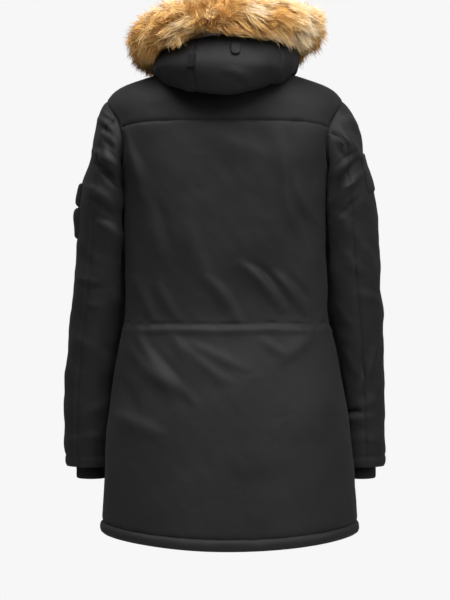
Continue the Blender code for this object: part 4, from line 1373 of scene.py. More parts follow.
SHELL_CLOTH = ClothFinish("black_shell_cloth", (0.0120, 0.0122, 0.0126), (0.0190, 0.0192, 0.0198))
RIB_KNIT = ClothFinish(
    "black_rib_knit", (0.006, 0.006, 0.0065), (0.012, 0.012, 0.013), 0.9, 0.1, 0.0016, 0.0004, 0.0004
)
WEBBING = ClothFinish(
    "black_webbing", (0.005, 0.005, 0.0055), (0.010, 0.010, 0.011), 0.85, 0.05, 0.0020, 0.0004, 0.0002
)
THREAD_FINISH = HardFinish("black_thread", (0.016, 0.016, 0.018), 0.45, 0.0)
SNAP_METAL = HardFinish("dark_snap_metal", (0.06, 0.06, 0.066), 0.38, 1.0)
LONG_FUR = FurFinish(
    "golden_tan_fur",
    (
        (0.00, (0.200, 0.070, 0.018)),
        (0.25, (0.560, 0.250, 0.060)),
        (0.50, (0.840, 0.490, 0.150)),
        (0.75, (0.960, 0.690, 0.340)),
        (1.00, (0.990, 0.870, 0.680)),
    ),
    (0.300, 0.120, 0.040),
)


@dataclass(frozen=True)
class Finishes:
    """All the materials, made once."""

    cloth: bpy.types.Material
    knit: bpy.types.Material
    webbing: bpy.types.Material
    thread: bpy.types.Material
    metal: bpy.types.Material
    fur: bpy.types.Material

    @classmethod
    def made(cls) -> "Finishes":
        """Builds the shared effects and the materials."""
        weave, crumple = woven_face(), soft_crumple()
        return cls(
            SHELL_CLOTH.material(weave, crumple),
            RIB_KNIT.material(weave, crumple),
            WEBBING.material(weave, crumple),
            THREAD_FINISH.material(crumple),
            SNAP_METAL.material(crumple),
            LONG_FUR.material(),
        )


# ---------------------------------------------------------------- body


def section_angle(y: float, z: float) -> float:
    """Angle round the body, from its side, at which its skin is at a depth y."""
    across = float(y - BODY["centre_y"](z))
    power = float(BODY["squareness"](z))
    share = min(abs(across) / float(depth_at(across > 0, z)), 0.98)
    return math.copysign(math.atan2(share, (1 - share**power) ** (1 / power)), across)


def armhole_angle(z: float, face: int) -> float:
    """Angle from the side to the armhole's edge on the back (face 1) or front (face -1) at a height."""
    half_height = (ARMHOLE_TOP - ARMHOLE_BOTTOM) / 2
    rise = (z - (ARMHOLE_TOP + ARMHOLE_BOTTOM) / 2) / half_height
    if abs(rise) > 1 - 1e-6:
        return 0.0
    depth = ARMHOLE_HALF_DEPTH * math.sqrt(1 - rise * rise)
    return section_angle(ARMHOLE_CENTRE_Y + face * depth, z)


@dataclass(frozen=True)
class Band:
    """Rows of points between two seam lines."""

    top: SeamLine
    bottom: SeamLine
    rows: int

    def height(self, share: float, angle: Array | float) -> Array:
        """Height at a share of the way down the band."""
        return self.top.height(angle) * (1 - share) + self.bottom.height(angle) * share

    def edge(self, share: float, face: int) -> float:
        """Angle at which a row meets the armhole's edge, or the side or shoulder seam."""
        angle = 0.0
        for _ in range(12):
            angle = armhole_angle(float(self.height(share, angle)), face)
        return angle


YOKE_BANDS = (Band(NECK, SHOULDER, 13), Band(SHOULDER, ABOVE_YOKE, 17), Band(ABOVE_YOKE, YOKE, 5))
BACK_BANDS = (
    Band(YOKE, BELOW_YOKE, 5),
    Band(BELOW_YOKE, ARMPIT, 20),
    Band(ARMPIT, UNDERARM, 14),
    Band(UNDERARM, WAIST_TOP, 54),
    Band(WAIST_TOP, WAIST_UNDER, 28),
    Band(WAIST_UNDER, HEM_SEAM, 72),
)


def rows_of(bands: Sequence[Band]) -> list[tuple[Band, float]]:
    """The band and the share of each row of points, from the top down."""
    rows = [(bands[0], 0.0)]
    for band in bands:
        rows += [(band, (i + 1) / band.rows) for i in range(band.rows)]
    return rows


@dataclass(frozen=True)
class Cut:
    """The flat piece that a panel is cut from: width, length and area, and how the panel is held."""

    width: float
    length: float
    area: float
    held: Held = Held.DRAPED

    def declare(self, piece: bpy.types.Object) -> None:
        """Meant to say that a piece is a sheet of this cut, but does nothing."""


@dataclass
class Body:
    """The back yoke, the back, the two fronts and the hem band."""

    finishes: Finishes
    back_columns: int = 96
    front_columns: int = 44
    edge_reach: float = 1.35  # the angle over which columns move to follow an armhole's edge
    hem_columns: int = 230
    hem_rows: int = 16
    hem_proud: float = 0.0035
    hem_deep: float = 0.003
    hem_fullness: float = 0.6
    hem_wobble: float = 0.16
    stitch_inset: float = 0.006
    stitch_sink: float = -0.0009  # of the face beside a seam, where it rolls down
    armhole_inset: float = 0.038  # radians from the armhole's edge
    cuts: dict[str, Cut] = field(default_factory=lambda: {
        "back_yoke": Cut(0.42, 0.17, 0.064),
        "back_panel": Cut(0.62, 0.74, 0.37),
        "front_left": Cut(0.34, 0.86, 0.219),
        "front_right": Cut(0.34, 0.86, 0.219),
        "hem_band": Cut(1.20, 0.028, 0.0325, Held.FOLDED),
    })

    def grid(self, bands: Sequence[Band], columns: int, face: int) -> Grid:
        """Angles and heights of a panel's points.

        Args:
            bands: the panel's bands.
            columns: across the back, or from the side to the middle of the left front.
            face: 1 for the back and -1 for the left front.

        Returns:
            The two grids.
        """
        angles, heights = [], []
        for band, share in rows_of(bands):
            edge = band.edge(share, face)
            row = np.linspace(0, math.pi if face > 0 else FRONT, columns + 1)
            moved = np.clip(1 - np.abs(row) / self.edge_reach, 0, 1) ** 2
            far = np.clip(1 - np.abs(math.pi - row) / self.edge_reach, 0, 1) ** 2 if face > 0 else 0
            row = row + edge * (moved - far)
            angles.append(row)
            heights.append(band.height(share, row))
        return np.array(angles), np.array(heights)

    def build(self) -> None:
        """Builds every panel."""
        cloth = self.finishes.cloth
        angles, heights = self.grid(YOKE_BANDS + BACK_BANDS, self.front_columns, -1)
        front = Edges(last=Edge.PLAIN)
        panels = {
            "back_yoke": (self.grid(YOKE_BANDS, self.back_columns, 1), Edges()),
            "back_panel": (self.grid(BACK_BANDS, self.back_columns, 1), Edges()),
            "front_left": ((angles, heights), front),
            "front_right": ((-math.pi - angles, heights), front),
        }
        made = {node: shell(f"{node}_cloth", BODY_SKIN, *panel) for node, panel in panels.items()}
        made["hem_band"] = self.hem_band()
        for node, piece in made.items():
            place(piece, Slot.CLOTH, cloth, node)
            self.cuts[node].declare(piece)

    def hem_band(self) -> bpy.types.Object:
        """The turned and padded hem, round the coat from one front edge to the other."""
        share = np.linspace(0, 1, self.hem_rows + 1)
        angles = np.linspace(FRONT, 1.5 * math.pi, self.hem_columns + 1)
        angles, share = np.meshgrid(angles, share)
        heights = HEM_SEAM.height(angles) * (1 - share) + HEM_END.height(angles) * share
        swell = np.sin(math.pi * share) ** self.hem_fullness
        wobble = 1 + self.hem_wobble * Ripple(71, 0.05)(angles * 0.2, share * 0.02)
        outside, inside = self.hem_proud * swell * wobble, -WALL - self.hem_deep * swell
        edges = replace(ALL_TURNED, top=Edge.SEWN, bottom=Edge.PLAIN, depth=0.0016, width=0.003)
        return shell("hem_band_cloth", BODY_SKIN, (angles, heights), edges, outside, inside)

    def stitches(self) -> Runs:
        """Topstitching under the yoke, round the armholes, in the waist's groove and over the hem."""
        around = straight(FRONT + 0.2, 1.5 * math.pi - 0.2, 900)
        across = straight(0.62, math.pi - 0.62)
        runs = [
            THREAD.run(BODY_SKIN, across, YOKE.height(across) - self.stitch_inset, self.stitch_sink),
            THREAD.run(BODY_SKIN, around, HEM_SEAM.height(around) + self.stitch_inset, self.stitch_sink),
            THREAD.run(BODY_SKIN, around, WAIST_CORD_Z),
        ]
        heights = straight(ARMHOLE_TOP - 0.004, ARMHOLE_BOTTOM + 0.004, 60)
        for face in (1, -1):
            edge = np.array([armhole_angle(float(z), face) for z in heights]) + face * self.armhole_inset
            for angles in (edge, math.pi - edge):
                runs.append(THREAD.run(BODY_SKIN, angles, heights, -0.0010))
        return runs


@dataclass
class StormFlap:
    """The flap that covers the front opening, with its press studs."""

    finishes: Finishes
    half_width: float = 0.030
    thickness: float = 0.004
    gap: float = 0.0015
    columns: int = 14
    stud_radius: float = 0.0075
    stud_height: float = 0.003
    stud_corners: int = 40
    stud_profile: tuple[tuple[float, float], ...] = (  # shares of its radius and height
        (0.0, 0.0), (0.90, 0.0), (1.0, 0.10), (1.0, 0.42), (0.94, 0.62), (0.80, 0.74), (0.66, 0.70),
        (0.60, 0.60), (0.54, 0.66), (0.36, 0.86), (0.16, 0.96), (0.0, 1.0),
    )
    studs: int = 5
    welt_height: float = 0.0007
    welt_inset: float = 0.003
    welt_width: float = 0.0025
    rows_short: int = 6  # it ends this many rows above the hem's seam
    ends: tuple[float, float] = (-0.006, -0.800)  # of its stitches
    cut: Cut = Cut(0.064, 0.80, 0.050, Held.STRETCHED)

    @property
    def top(self) -> float:
        """Height of its face over the body's skin."""
        return self.gap + self.thickness

    def angles(self, heights: Array | float, share: Array | float) -> Array:
        """Angles round the body at a share of the flap's half width from its middle."""
        return FRONT + share * self.half_width / BODY["half_width"](heights)

    def build(self) -> None:
        """Builds the flap and the studs."""
        rows = rows_of(YOKE_BANDS + BACK_BANDS)[: -self.rows_short]
        heights = np.array([[float(band.height(share, FRONT))] for band, share in rows])
        shares = np.linspace(1, -1, self.columns + 1)[None]
        angles = self.angles(heights, shares)
        grid = (angles, np.broadcast_to(heights, angles.shape))
        off_welt = (1 - np.abs(shares)) * self.half_width - self.welt_inset
        top = self.top + self.welt_height * bump(off_welt, self.welt_width) * np.ones(angles.shape)
        flap = shell("storm_flap_cloth", BODY_SKIN, grid, ALL_TURNED, top, 0.2 * self.gap)
        place(flap, Slot.CLOTH, self.finishes.cloth, "storm_flap")
        self.cut.declare(flap)
        for i in range(1, self.studs + 1):
            self.stud(f"snap_{i}")

    def stud(self, node: str) -> None:
        """One press stud's cap, rounded, with a sunken ring and a small middle."""
        low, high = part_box(node)
        z = (low.z + high.z) / 2
        sunk = float(BODY_SKIN.point(np.array(FRONT), np.array(z))[2]) - z
        u, v = np.array([FRONT]), np.array([z - sunk])
        normal = BODY_SKIN.normal(u, v)[0]
        seat = BODY_SKIN.raised(u, v, self.top)[0]
        aside = unit(np.cross(normal, (0, 0, 1)))
        shares, rises = np.array(self.stud_profile).T
        line = seat + normal * self.stud_height * rises[:, None]
        out = np.broadcast_to(aside, line.shape)
        radii = self.stud_radius * np.maximum(shares, 1e-4)[:, None, None]
        turns = once_round(self.stud_corners)
        vertices = rings_round(line, out, np.cross(aside, normal), radii, turns).reshape(-1, 3)
        faces = tube_faces(len(line), len(turns), False)
        stud = mesh_of(f"{node}_cap", vertices, turned_out(vertices, faces))
        place(stud, Slot.METAL, self.finishes.metal, node)

    def stitches(self) -> Runs:
        """Two lines down each edge and one across each end."""
        heights, shares = straight(*self.ends, 700), straight(-0.8, 0.8, 60)
        lines = [(share, heights) for share in (0.80, -0.80, 0.55, -0.55)]
        lines += [(shares, end) for end in self.ends]
        return [THREAD.run(BODY_SKIN, self.angles(z, share), z, self.top) for share, z in lines]


@dataclass
class Collar:
    """The stand-up collar."""

    finishes: Finishes
    columns: int = 130
    rows: int = 16
    cut: Cut = Cut(0.46, 0.055, 0.0225, Held.STRETCHED)

    def build(self) -> None:
        """Builds the collar round the neck, from one front edge to the other."""
        angles = np.linspace(FRONT + 0.004, 1.5 * math.pi - 0.004, self.columns + 1)
        u, v = np.meshgrid(angles, np.linspace(0, 1, self.rows + 1))
        collar = shell("collar_cloth", COLLAR_SKIN, (u, v), replace(ALL_TURNED, top=Edge.SEWN, depth=0.0016))
        place(collar, Slot.CLOTH, self.finishes.cloth, "collar")
        self.cut.declare(collar)

    def stitches(self) -> Runs:
        """A line over the neck seam and one under the top edge."""
        around = straight(FRONT + 0.1, 1.5 * math.pi - 0.1, 400)
        return [THREAD.run(COLLAR_SKIN, around, share, -0.0003) for share in (0.14, 0.87)]


# ---------------------------------------------------------------- sleeves


@dataclass(frozen=True)
class SleevePiece:
    """What lies on a sleeve: the rings and angles that it covers and its height at the edge and middle."""

    name: str
    top: float
    bottom: float
    angle0: float
    angle1: float
    edge: float
    middle: float
    cut: Cut

    def grid(self, rows: int, columns: int) -> Grid:
        """Its angles and stations."""
        angles = np.radians(np.linspace(self.angle0, self.angle1, columns + 1))
        u, v = np.meshgrid(angles, np.linspace(self.top, self.bottom, rows + 1))
        return u, v


@dataclass
class Sleeve:
    """A two-piece sleeve with its cuff and what lies on it."""

    side: Side
    finishes: Finishes
    back_seam: float
    front_seam: float
    cuff_centre_x: float
    pieces: tuple[SleevePiece, ...]
    rows: int = 168
    upper_columns: int = 38
    under_columns: int = 48
    stitch_ring: float = 20.35
    cuff_half_width: float = 0.029
    cuff_half_depth: float = 0.036
    cuff_arc: float = 0.033  # metres of cloth to a radian
    cuff_wall: float = 0.003
    cuff_drop: float = 0.022
    cuff_rise: float = 0.014
    ribs: int = 54
    rib_height: float = 0.0009
    rib_sink: float = 0.0009  # of the cuff's face, between its ribs
    end_sink: float = 0.0008  # and further, at its lower edge
    binding_radius: float = 0.0027
    binding_depth: float = 0.0058  # of its middle inside the armhole's seam
    cuts: dict[str, Cut] = field(default_factory=lambda: {
        "upper": Cut(0.21, 0.70, 0.112),
        "under": Cut(0.26, 0.62, 0.120),
        "cuff": Cut(0.215, 0.042, 0.0088, Held.STRETCHED),
    })

    @property
    def skin(self) -> SleeveSkin:
        """The skin that the sleeve is built on."""
        return SLEEVE_SKINS[self.side]

    def build(self) -> None:
        """Builds both halves of the sleeve, the cuff and what lies on the sleeve."""
        stations = np.linspace(0, LAST_RING, self.rows + 1)
        edges = Edges(bottom=Edge.TURNED, lip=0.0065)
        halves = (
            ("upper", self.front_seam - 360, self.back_seam, self.upper_columns),
            ("under", self.back_seam, self.front_seam, self.under_columns),
        )
        for half, start, end, columns in halves:
            node = f"{half}_sleeve_{self.side.word}"
            u, v = np.meshgrid(np.radians(np.linspace(start, end, columns + 1)), stations)
            piece = shell(f"{node}_cloth", self.skin, (u, v), edges, self.hem_roll(v))
            place(piece, Slot.CLOTH, self.finishes.cloth, node)
            self.cuts[half].declare(piece)
        self.binding()
        self.cuff()
        for piece in self.pieces:
            self.lay(piece)

    def hem_roll(self, v: Array | float) -> Array:
        """A shallow groove where the sleeve's turned hem is sewn, with a soft roll below it."""
        below = v - self.stitch_ring
        return -0.0013 * bump(below, 0.09) + 0.0009 * bump(below - 0.35, 0.22)

    def binding(self) -> None:
        """The bound seam allowances inside the armhole's seam."""
        u = once_round(200)
        line = self.skin.point(u, 0 * u)
        middle = np.array([0, ARMHOLE_CENTRE_Y, (ARMHOLE_TOP + ARMHOLE_BOTTOM) / 2])
        inwards = unit((middle - line) * (0, 1, 1))
        line = line + inwards * self.binding_depth
        rings = rings_round(line, inwards, np.array([1.0, 0, 0]), self.binding_radius, once_round(10))
        vertices, faces = rings.reshape(-1, 3), tube_faces(*rings.shape[:2], True)
        made = mesh_of(f"armhole_binding_{self.side.word}", vertices, turned_out(vertices, faces))
        place(made, Slot.CLOTH, self.finishes.webbing)

    def cuff(self) -> None:
        """The ribbed cuff, which starts inside the sleeve and narrows to the wrist."""
        u = once_round(self.ribs * 4)
        sign = self.side.value
        end_z = float(SLEEVE["outer_z"](LAST_RING))
        centre_y = float(SLEEVE["centre_y"](LAST_RING))
        station = LAST_RING - self.cuff_rise / (SLEEVE_RINGS[-2].outer_z - SLEEVE_RINGS[-1].outer_z)
        place_v = np.full(u.shape, station)
        mouth = self.skin.point(u, place_v) - self.skin.normal(u, place_v) * (WALL + LIE_GAP)
        narrow = np.stack([
            sign * (self.cuff_centre_x + self.cuff_half_width * np.cos(u)),
            centre_y + self.cuff_half_depth * np.sin(u),
            np.full(u.shape, end_z),
        ], -1)
        rows = []
        for share in np.linspace(0, 1, 8):
            ring = mouth * (1 - share) + narrow * share
            ring[:, 2] = mouth[:, 2] + (end_z + 0.003 - mouth[:, 2]) * share
            rows.append(ring)
        for drop in np.linspace(0.002, self.cuff_drop, 14):
            rows.append(narrow - (0, 0, drop))
        outer = np.array(rows)
        middle = np.array([sign * self.cuff_centre_x, centre_y, 0])
        inwards = unit((middle - outer) * (1, 1, 0))
        rib = self.rib_height * (0.5 + 0.5 * np.cos(self.ribs * u))[None, :, None]
        ends = np.ones((len(outer), 1, 1))
        ends[-1], ends[-2] = 0.25, 0.8
        face = outer + inwards * (self.rib_sink - rib * ends + self.end_sink * (1 - ends))
        inner = outer + inwards * self.cuff_wall
        inner[0, :, 2] -= self.cuff_wall / 2
        vertices = np.concatenate([face.reshape(-1, 3), inner.reshape(-1, 3)])
        faces = turned_out(vertices, wall_faces(*outer.shape[:2], True))
        girth = np.broadcast_to(u * self.cuff_arc, outer.shape[:2])
        cloth = np.stack([girth, outer[..., 2]], -1).reshape(-1, 2)
        node = f"cuff_{self.side.word}"
        cuff = mesh_of(f"{node}_knit", vertices, faces, {"cloth": np.concatenate([cloth, cloth])})
        place(cuff, Slot.KNIT, self.finishes.knit, node)
        self.cuts["cuff"].declare(cuff)

    def lay(self, piece: SleevePiece) -> None:
        """Builds one piece that lies on the sleeve, crowned in its middle."""
        u, v = piece.grid(26, 36)
        across = np.linspace(-1, 1, u.shape[1])[None]
        down = np.linspace(-1, 1, u.shape[0])[:, None]
        crown = ((1 - across**6) * (1 - down**4)) ** 0.7
        slack = 1 + 0.2 * Ripple(81, 0.05)(u * 0.06, v * 0.03)
        height = LIE_GAP + piece.edge + (piece.middle - piece.edge) * crown * slack
        made = shell(f"{piece.name}_cloth", self.skin, (u, v), ALL_TURNED, height, LIE_GAP * 0.5)
        place(made, Slot.CLOTH, self.finishes.cloth, piece.name)
        piece.cut.declare(made)

    def stitches(self) -> Runs:
        """Lines beside the sleeve's seams, round its hem and inside the edges of what lies on it."""
        stations = straight(0.6, LAST_RING - 0.5, 520)
        runs = []
        for angle in (self.back_seam - 6, self.front_seam - 360 + 6):
            runs.append(THREAD.run(self.skin, math.radians(angle), stations, -0.0010))
        around, lift = straight(0, 2 * math.pi, 300), float(self.hem_roll(self.stitch_ring))
        runs.append(THREAD.run(self.skin, around, self.stitch_ring, lift))
        for piece in self.pieces:
            lift = LIE_GAP + piece.edge + 0.35 * (piece.middle - piece.edge)
            low, high = math.radians(piece.angle0 + 4), math.radians(piece.angle1 - 4)
            top, bottom = piece.top + 0.12, piece.bottom - 0.14
            across, down = straight(low, high, 80), straight(top, bottom, 60)
            for u, v in ((across, top), (across, bottom), (low, down), (high, down)):
                runs.append(THREAD.run(self.skin, u, v, lift))
        return runs


# ---------------------------------------------------------------- hood


@dataclass(frozen=True)
class HoodTab:
    """A small tab on the hood's crown: its place, half size, squareness and whether it is webbing."""

    name: str
    turn: float
    row: float
    half_turn: float
    half_row: float
    thickness: float
    squareness: float
    webbing: bool


@dataclass
class Hood:
    """The hood's three panels, folded into a pouch behind the neck, with its tabs."""

    finishes: Finishes
    end: float = 128.0
    seam_left: float = 17.5
    seam_right: float = -33.0
    column: float = 1.5  # degrees round the neck to one line of points
    rows: int = 48
    rim_height: float = 0.0008  # round a tab
    rim_fall: float = 0.0010  # at its very edge
    seam_shift: float = 1.9  # degrees from a seam to the stitches beside it
    tabs: tuple[HoodTab, ...] = (
        HoodTab("hood_tab", -5.7, 0.885, 2.6, 0.042, 0.0030, 3.0, False),
        HoodTab("hood_loop", 17.5, 0.800, 2.4, 0.060, 0.0022, 8.0, True),
    )
    cuts: dict[str, Cut] = field(default_factory=lambda: {
        "hood_left": Cut(0.30, 0.20, 0.033, Held.GATHERED),
        "hood_centre": Cut(0.18, 0.20, 0.030, Held.GATHERED),
        "hood_right": Cut(0.27, 0.20, 0.028, Held.GATHERED),
        "hood_tab": Cut(0.018, 0.026, 0.00044, Held.STRETCHED),
        "hood_loop": Cut(0.016, 0.034, 0.00052, Held.STRETCHED),
    })

    def build(self) -> None:
        """Builds the panels and the tabs."""
        rows = np.linspace(0, 1, self.rows + 1)
        seams = Edges(bottom=Edge.TURNED, depth=0.0013, width=0.0035)
        panels = (
            ("hood_left", self.seam_left, self.end, replace(seams, last=Edge.TURNED)),
            ("hood_centre", self.seam_right, self.seam_left, seams),
            ("hood_right", -self.end, self.seam_right, replace(seams, first=Edge.TURNED)),
        )
        for name, start, end, edges in panels:
            turns = np.radians(np.linspace(start, end, round((end - start) / self.column) + 1))
            u, v = np.meshgrid(turns, rows)
            panel = shell(f"{name}_cloth", HOOD_SKIN, (u, v), edges, 0.0, -HOOD_WALL)
            place(panel, Slot.CLOTH, self.finishes.cloth, name)
            self.cuts[name].declare(panel)
        for tab in self.tabs:
            self.tab(tab)

    def tab(self, tab: HoodTab) -> None:
        """One small tab with rounded corners and a raised rim."""
        power = tab.squareness
        across, down = np.meshgrid(np.linspace(-1, 1, 15), np.linspace(-1, 1, 15))
        size = np.maximum(np.abs(across), np.abs(down))
        reach = (np.abs(across) ** power + np.abs(down) ** power) ** (1 / power)
        rounded = np.where(reach > 0, size / np.maximum(reach, 1e-9), 1)
        u = np.radians(tab.turn + tab.half_turn * across * rounded)
        v = tab.row + tab.half_row * down * rounded
        rim = self.rim_height * bump(size - 0.80, 0.12) - self.rim_fall * np.clip((size - 0.9) / 0.1, 0, 1)
        top = LIE_GAP + tab.thickness + rim
        made = shell(f"{tab.name}_cloth", HOOD_SKIN, (u, v), ALL_PLAIN, top, 0.0)
        finish = self.finishes.webbing if tab.webbing else self.finishes.cloth
        place(made, Slot.CLOTH, finish, tab.name)
        self.cuts[tab.name].declare(made)

    def stitches(self) -> Runs:
        """Two lines beside each seam of the hood, and one along its rim."""
        rows = straight(0.35, 0.97, 160)
        runs = []
        for seam in (self.seam_left, self.seam_right):
            for shift in (-self.seam_shift, self.seam_shift):
                runs.append(THREAD.run(HOOD_SKIN, math.radians(seam + shift), rows, -0.0009))
        around = straight(math.radians(-118), math.radians(118), 500)
        runs.append(THREAD.run(HOOD_SKIN, around, 0.94))
        return runs


# ---------------------------------------------------------------- fur


@dataclass(frozen=True)
class FurZone:
    """The fur's tone at a turn round the neck, inside and outside the roll, and how long it is; the tone is
    partly painted light.
    """

    turn: float
    outer: float
    inner: float
    length: float


FUR_ZONES = rows_as(FurZone, (
    (-172, 0.52, 0.60, 0.9), (-120, 0.50, 0.62, 1.0),
    (-92, 0.40, 0.52, 1.0), (-76, 0.30, 0.48, 1.05),
    # Painted highlight: the cream from turn -62 to -30, on the side the key light comes from, is partly the
    # fur's own pale colour and partly painted light.
    (-62, 0.66, 0.80, 1.05), (-46, 0.84, 0.90, 1.0),
    (-30, 0.66, 0.74, 1.0), (-12, 0.58, 0.66, 1.0),
    (8, 0.58, 0.64, 1.0), (24, 0.66, 0.70, 1.0),
    (36, 0.54, 0.62, 1.0), (55, 0.48, 0.60, 0.95),
    (75, 0.50, 0.60, 0.85), (95, 0.46, 0.58, 0.85),
    (130, 0.46, 0.58, 1.0), (172, 0.52, 0.60, 0.9),
))
FUR = columns_of(FUR_ZONES, "turn")
UP = np.array([0, 0, 1.0])


@dataclass
class FurTrim:
    """The hood's fur edge: a roll of hide with locks of long hair on it."""

    finishes: Finishes
    end: float = 166.0
    hide_radius: float = 0.0290
    hide_drop: float = 0.0030  # below the middle of the fur
    fluff: float = 0.0335  # beyond this distance from the middle the hair is pressed in
    pressed: float = 0.55  # to this share
    hide_columns: int = 260
    hide_rows: int = 26
    locks: int = 3600
    hairs: int = 19  # in each lock
    stations: int = 5  # points along a hair
    length: tuple[float, float] = (0.026, 0.043)
    width: tuple[float, float] = (0.00050, 0.00090)
    parting: float = 12.0  # the turn at which the hair parts to both sides
    hanging_turn: float = 76.0  # the turn at which it hangs lowest
    lifted_turn: float = 11.0  # the turn at which it stands clear of the hood's crown
    lifted_spread: float = 22.0
    lift: float = 0.0050  # how much the roll rises there
    lifted_slim: float = 0.17  # and how much thinner it is, as a share
    arc: float = 0.16  # metres of the roll to a radian round the neck
    girth: float = 0.03  # metres of hair to a radian round the roll
    lumps: float = 0.07
    parting_spread: float = 30.0
    hanging_spread: float = 28.0
    stand: float = 0.62  # how strongly a lock stands out of the roll
    swept: float = 1.15  # and how strongly it lies along it, at its root
    swept_on: float = 0.55  # and further out
    wave: float = 0.34  # how strongly neighbouring locks lean the same way, at their roots
    wave_on: float = 0.25
    wave_length: float = 0.060
    sag: float = 0.06
    sag_behind: float = 0.14
    sag_hanging: float = 0.34
    rise_lifted: float = 0.32
    droop: float = 0.34
    droop_lifted: float = 0.22
    lock_spread: float = 0.0040  # of the hairs' roots in a lock
    stray: float = 0.0024  # of their tips
    drawn_in: float = 0.55  # how much of the spread a lock loses towards its tip
    parts: int = 4
    seed: int = 5

    def ring(self, turn: Array) -> tuple[Array, Array, Array]:
        """The roll's middle line.

        Args:
            turn: radians round the neck from the middle of the back.

        Returns:
            Its points, the unit vectors away from the neck, and those along it to the wearer's left.
        """
        degrees = np.degrees(turn)
        reach, z = HOOD["fur_reach"](degrees), HOOD["fur_z"](degrees)
        away = np.stack([np.sin(turn), np.cos(turn), np.zeros(turn.shape)], -1)
        z = z - self.hide_drop + self.lift * self.lifted(degrees)
        middle = away * reach[..., None] + np.stack([np.full(turn.shape, NECK_CENTRE_X), 0 * turn, z], -1)
        along = np.stack([np.cos(turn), -np.sin(turn), np.zeros(turn.shape)], -1)
        return middle, away, along

    def lifted(self, degrees: Array) -> Array:
        """1 where the roll stands clear of the hood's crown, and 0 away from there."""
        return bump(degrees - self.lifted_turn, self.lifted_spread)

    def build(self) -> None:
        """Builds the hide and the hair on it."""
        fur = self.finishes.fur
        hide = self.hide()
        place(hide, Slot.FUR, fur, "fur_trim")
        for piece in self.hair():
            place(piece, Slot.FUR, fur)

    def hide(self) -> bpy.types.Object:
        """The roll that the hair stands on, with rounded ends."""
        share = np.linspace(-1, 1, self.hide_columns + 1)
        turns, around = np.radians(self.end) * share, once_round(self.hide_rows)
        middle, away, _ = self.ring(turns)
        near_end = np.clip((1 - np.abs(share)) / 0.05, 0, 1)
        radius = self.hide_radius * np.sqrt(np.clip(1 - (1 - near_end) ** 2, 0.0004, 1))
        lumps = 1 + self.lumps * Ripple(91, 0.05)(turns[:, None] * self.arc, around[None] * 0.02)
        slim = 1 - self.lifted_slim * self.lifted(np.degrees(turns))
        size = (radius[:, None] * slim[:, None] * lumps)[..., None]
        rings = rings_round(middle, away, UP, size, around)
        vertices = rings.reshape(-1, 3)
        faces = turned_out(vertices, tube_faces(*rings.shape[:2], False))
        # The hide takes tone 0.42 at 0.30 of the way to the tip, where the fur's painted root shade still
        # darkens it.
        tone = np.stack([np.full(len(vertices), 0.42), np.full(len(vertices), 0.30)], -1)
        return mesh_of("fur_hide", vertices, faces, {"OFBake": tone})

    def hair(self) -> list[bpy.types.Object]:
        """All the hair, in a few pieces.

        Returns:
            The pieces.
        """
        chance = np.random.default_rng(self.seed)
        locks = self.locks
        turn = np.radians(chance.uniform(-self.end, self.end, locks))
        around = chance.uniform(-math.pi, math.pi, locks)
        lines = self.lock_lines(chance, turn, around)
        tones = self.tones(chance, turn, around)
        facing = unit(lines[:, self.stations // 2] - self.ring(turn)[0])
        made = []
        for part in range(self.parts):
            chosen = np.arange(part, locks, self.parts)
            name = f"fur_hair_{part + 1}"
            made.append(self.strands(name, chance, lines[chosen], tones[chosen], facing[chosen]))
        return made

    def lock_lines(self, chance: np.random.Generator, turn: Array, around: Array) -> Array:
        """The middle line of each lock.

        Args:
            chance: random numbers.
            turn: each lock's turn round the neck.
            around: its angle round the roll, 0 away from the neck and 90 degrees up.

        Returns:
            For each lock, its points from root to tip.
        """
        middle, away, along = self.ring(turn)
        count = len(turn)
        outwards = away * np.cos(around)[:, None] + UP * np.sin(around)[:, None]
        root = middle + outwards * (self.hide_radius * chance.uniform(0.85, 1.0, count))[:, None]
        degrees = np.degrees(turn)
        parted = np.clip((degrees - self.parting) / self.parting_spread, -1, 1)
        swept = along * (parted * (0.55 + 0.25 * chance.standard_normal(count)))[:, None]
        rough = chance.normal(0, 0.15, (count, 3))
        places = (turn * self.arc, around * self.girth)
        wave = np.stack([Ripple(seed, self.wave_length)(*places) for seed in (92, 93, 94)], -1)
        lean = outwards * self.stand + swept * self.swept + rough + self.wave * wave
        hanging, lifted = bump(degrees - self.hanging_turn, self.hanging_spread), self.lifted(degrees)
        lean = lean * (1 - 0.45 * hanging[:, None] * (1, 1, 0))
        behind = np.clip(np.cos(turn), 0, 1)
        sag = self.sag + self.sag_behind * behind + self.sag_hanging * hanging
        lean = unit(lean - UP * (sag - self.rise_lifted * lifted)[:, None])
        size = chance.uniform(*self.length, count) * FUR["length"](degrees)
        size = size * chance.choice([1, 1, 0.66], count)
        droop = self.droop + 0.10 * chance.standard_normal(count) - self.droop_lifted * lifted
        bend = swept * self.swept_on - UP * droop[:, None]
        bend = bend + self.wave_on * np.roll(wave, 1, axis=-1) + chance.normal(0, 0.08, (count, 3))
        t = np.linspace(0, 1, self.stations)[None, :, None]
        line = root[:, None] + size[:, None, None] * (lean[:, None] * t + bend[:, None] * t**2 * 0.6)
        return self.kept_clear(self.pressed_in(line))

    def pressed_in(self, line: Array) -> Array:
        """Points with those far from the roll's middle line drawn nearer to it."""
        middle, _, _ = self.ring(np.arctan2(line[..., 0] - NECK_CENTRE_X, line[..., 1]))
        out = line - middle
        distance = np.linalg.norm(out, axis=-1, keepdims=True)
        nearer = np.minimum(distance, self.fluff + (distance - self.fluff) * self.pressed)
        return middle + out * nearer / np.maximum(distance, 1e-9)

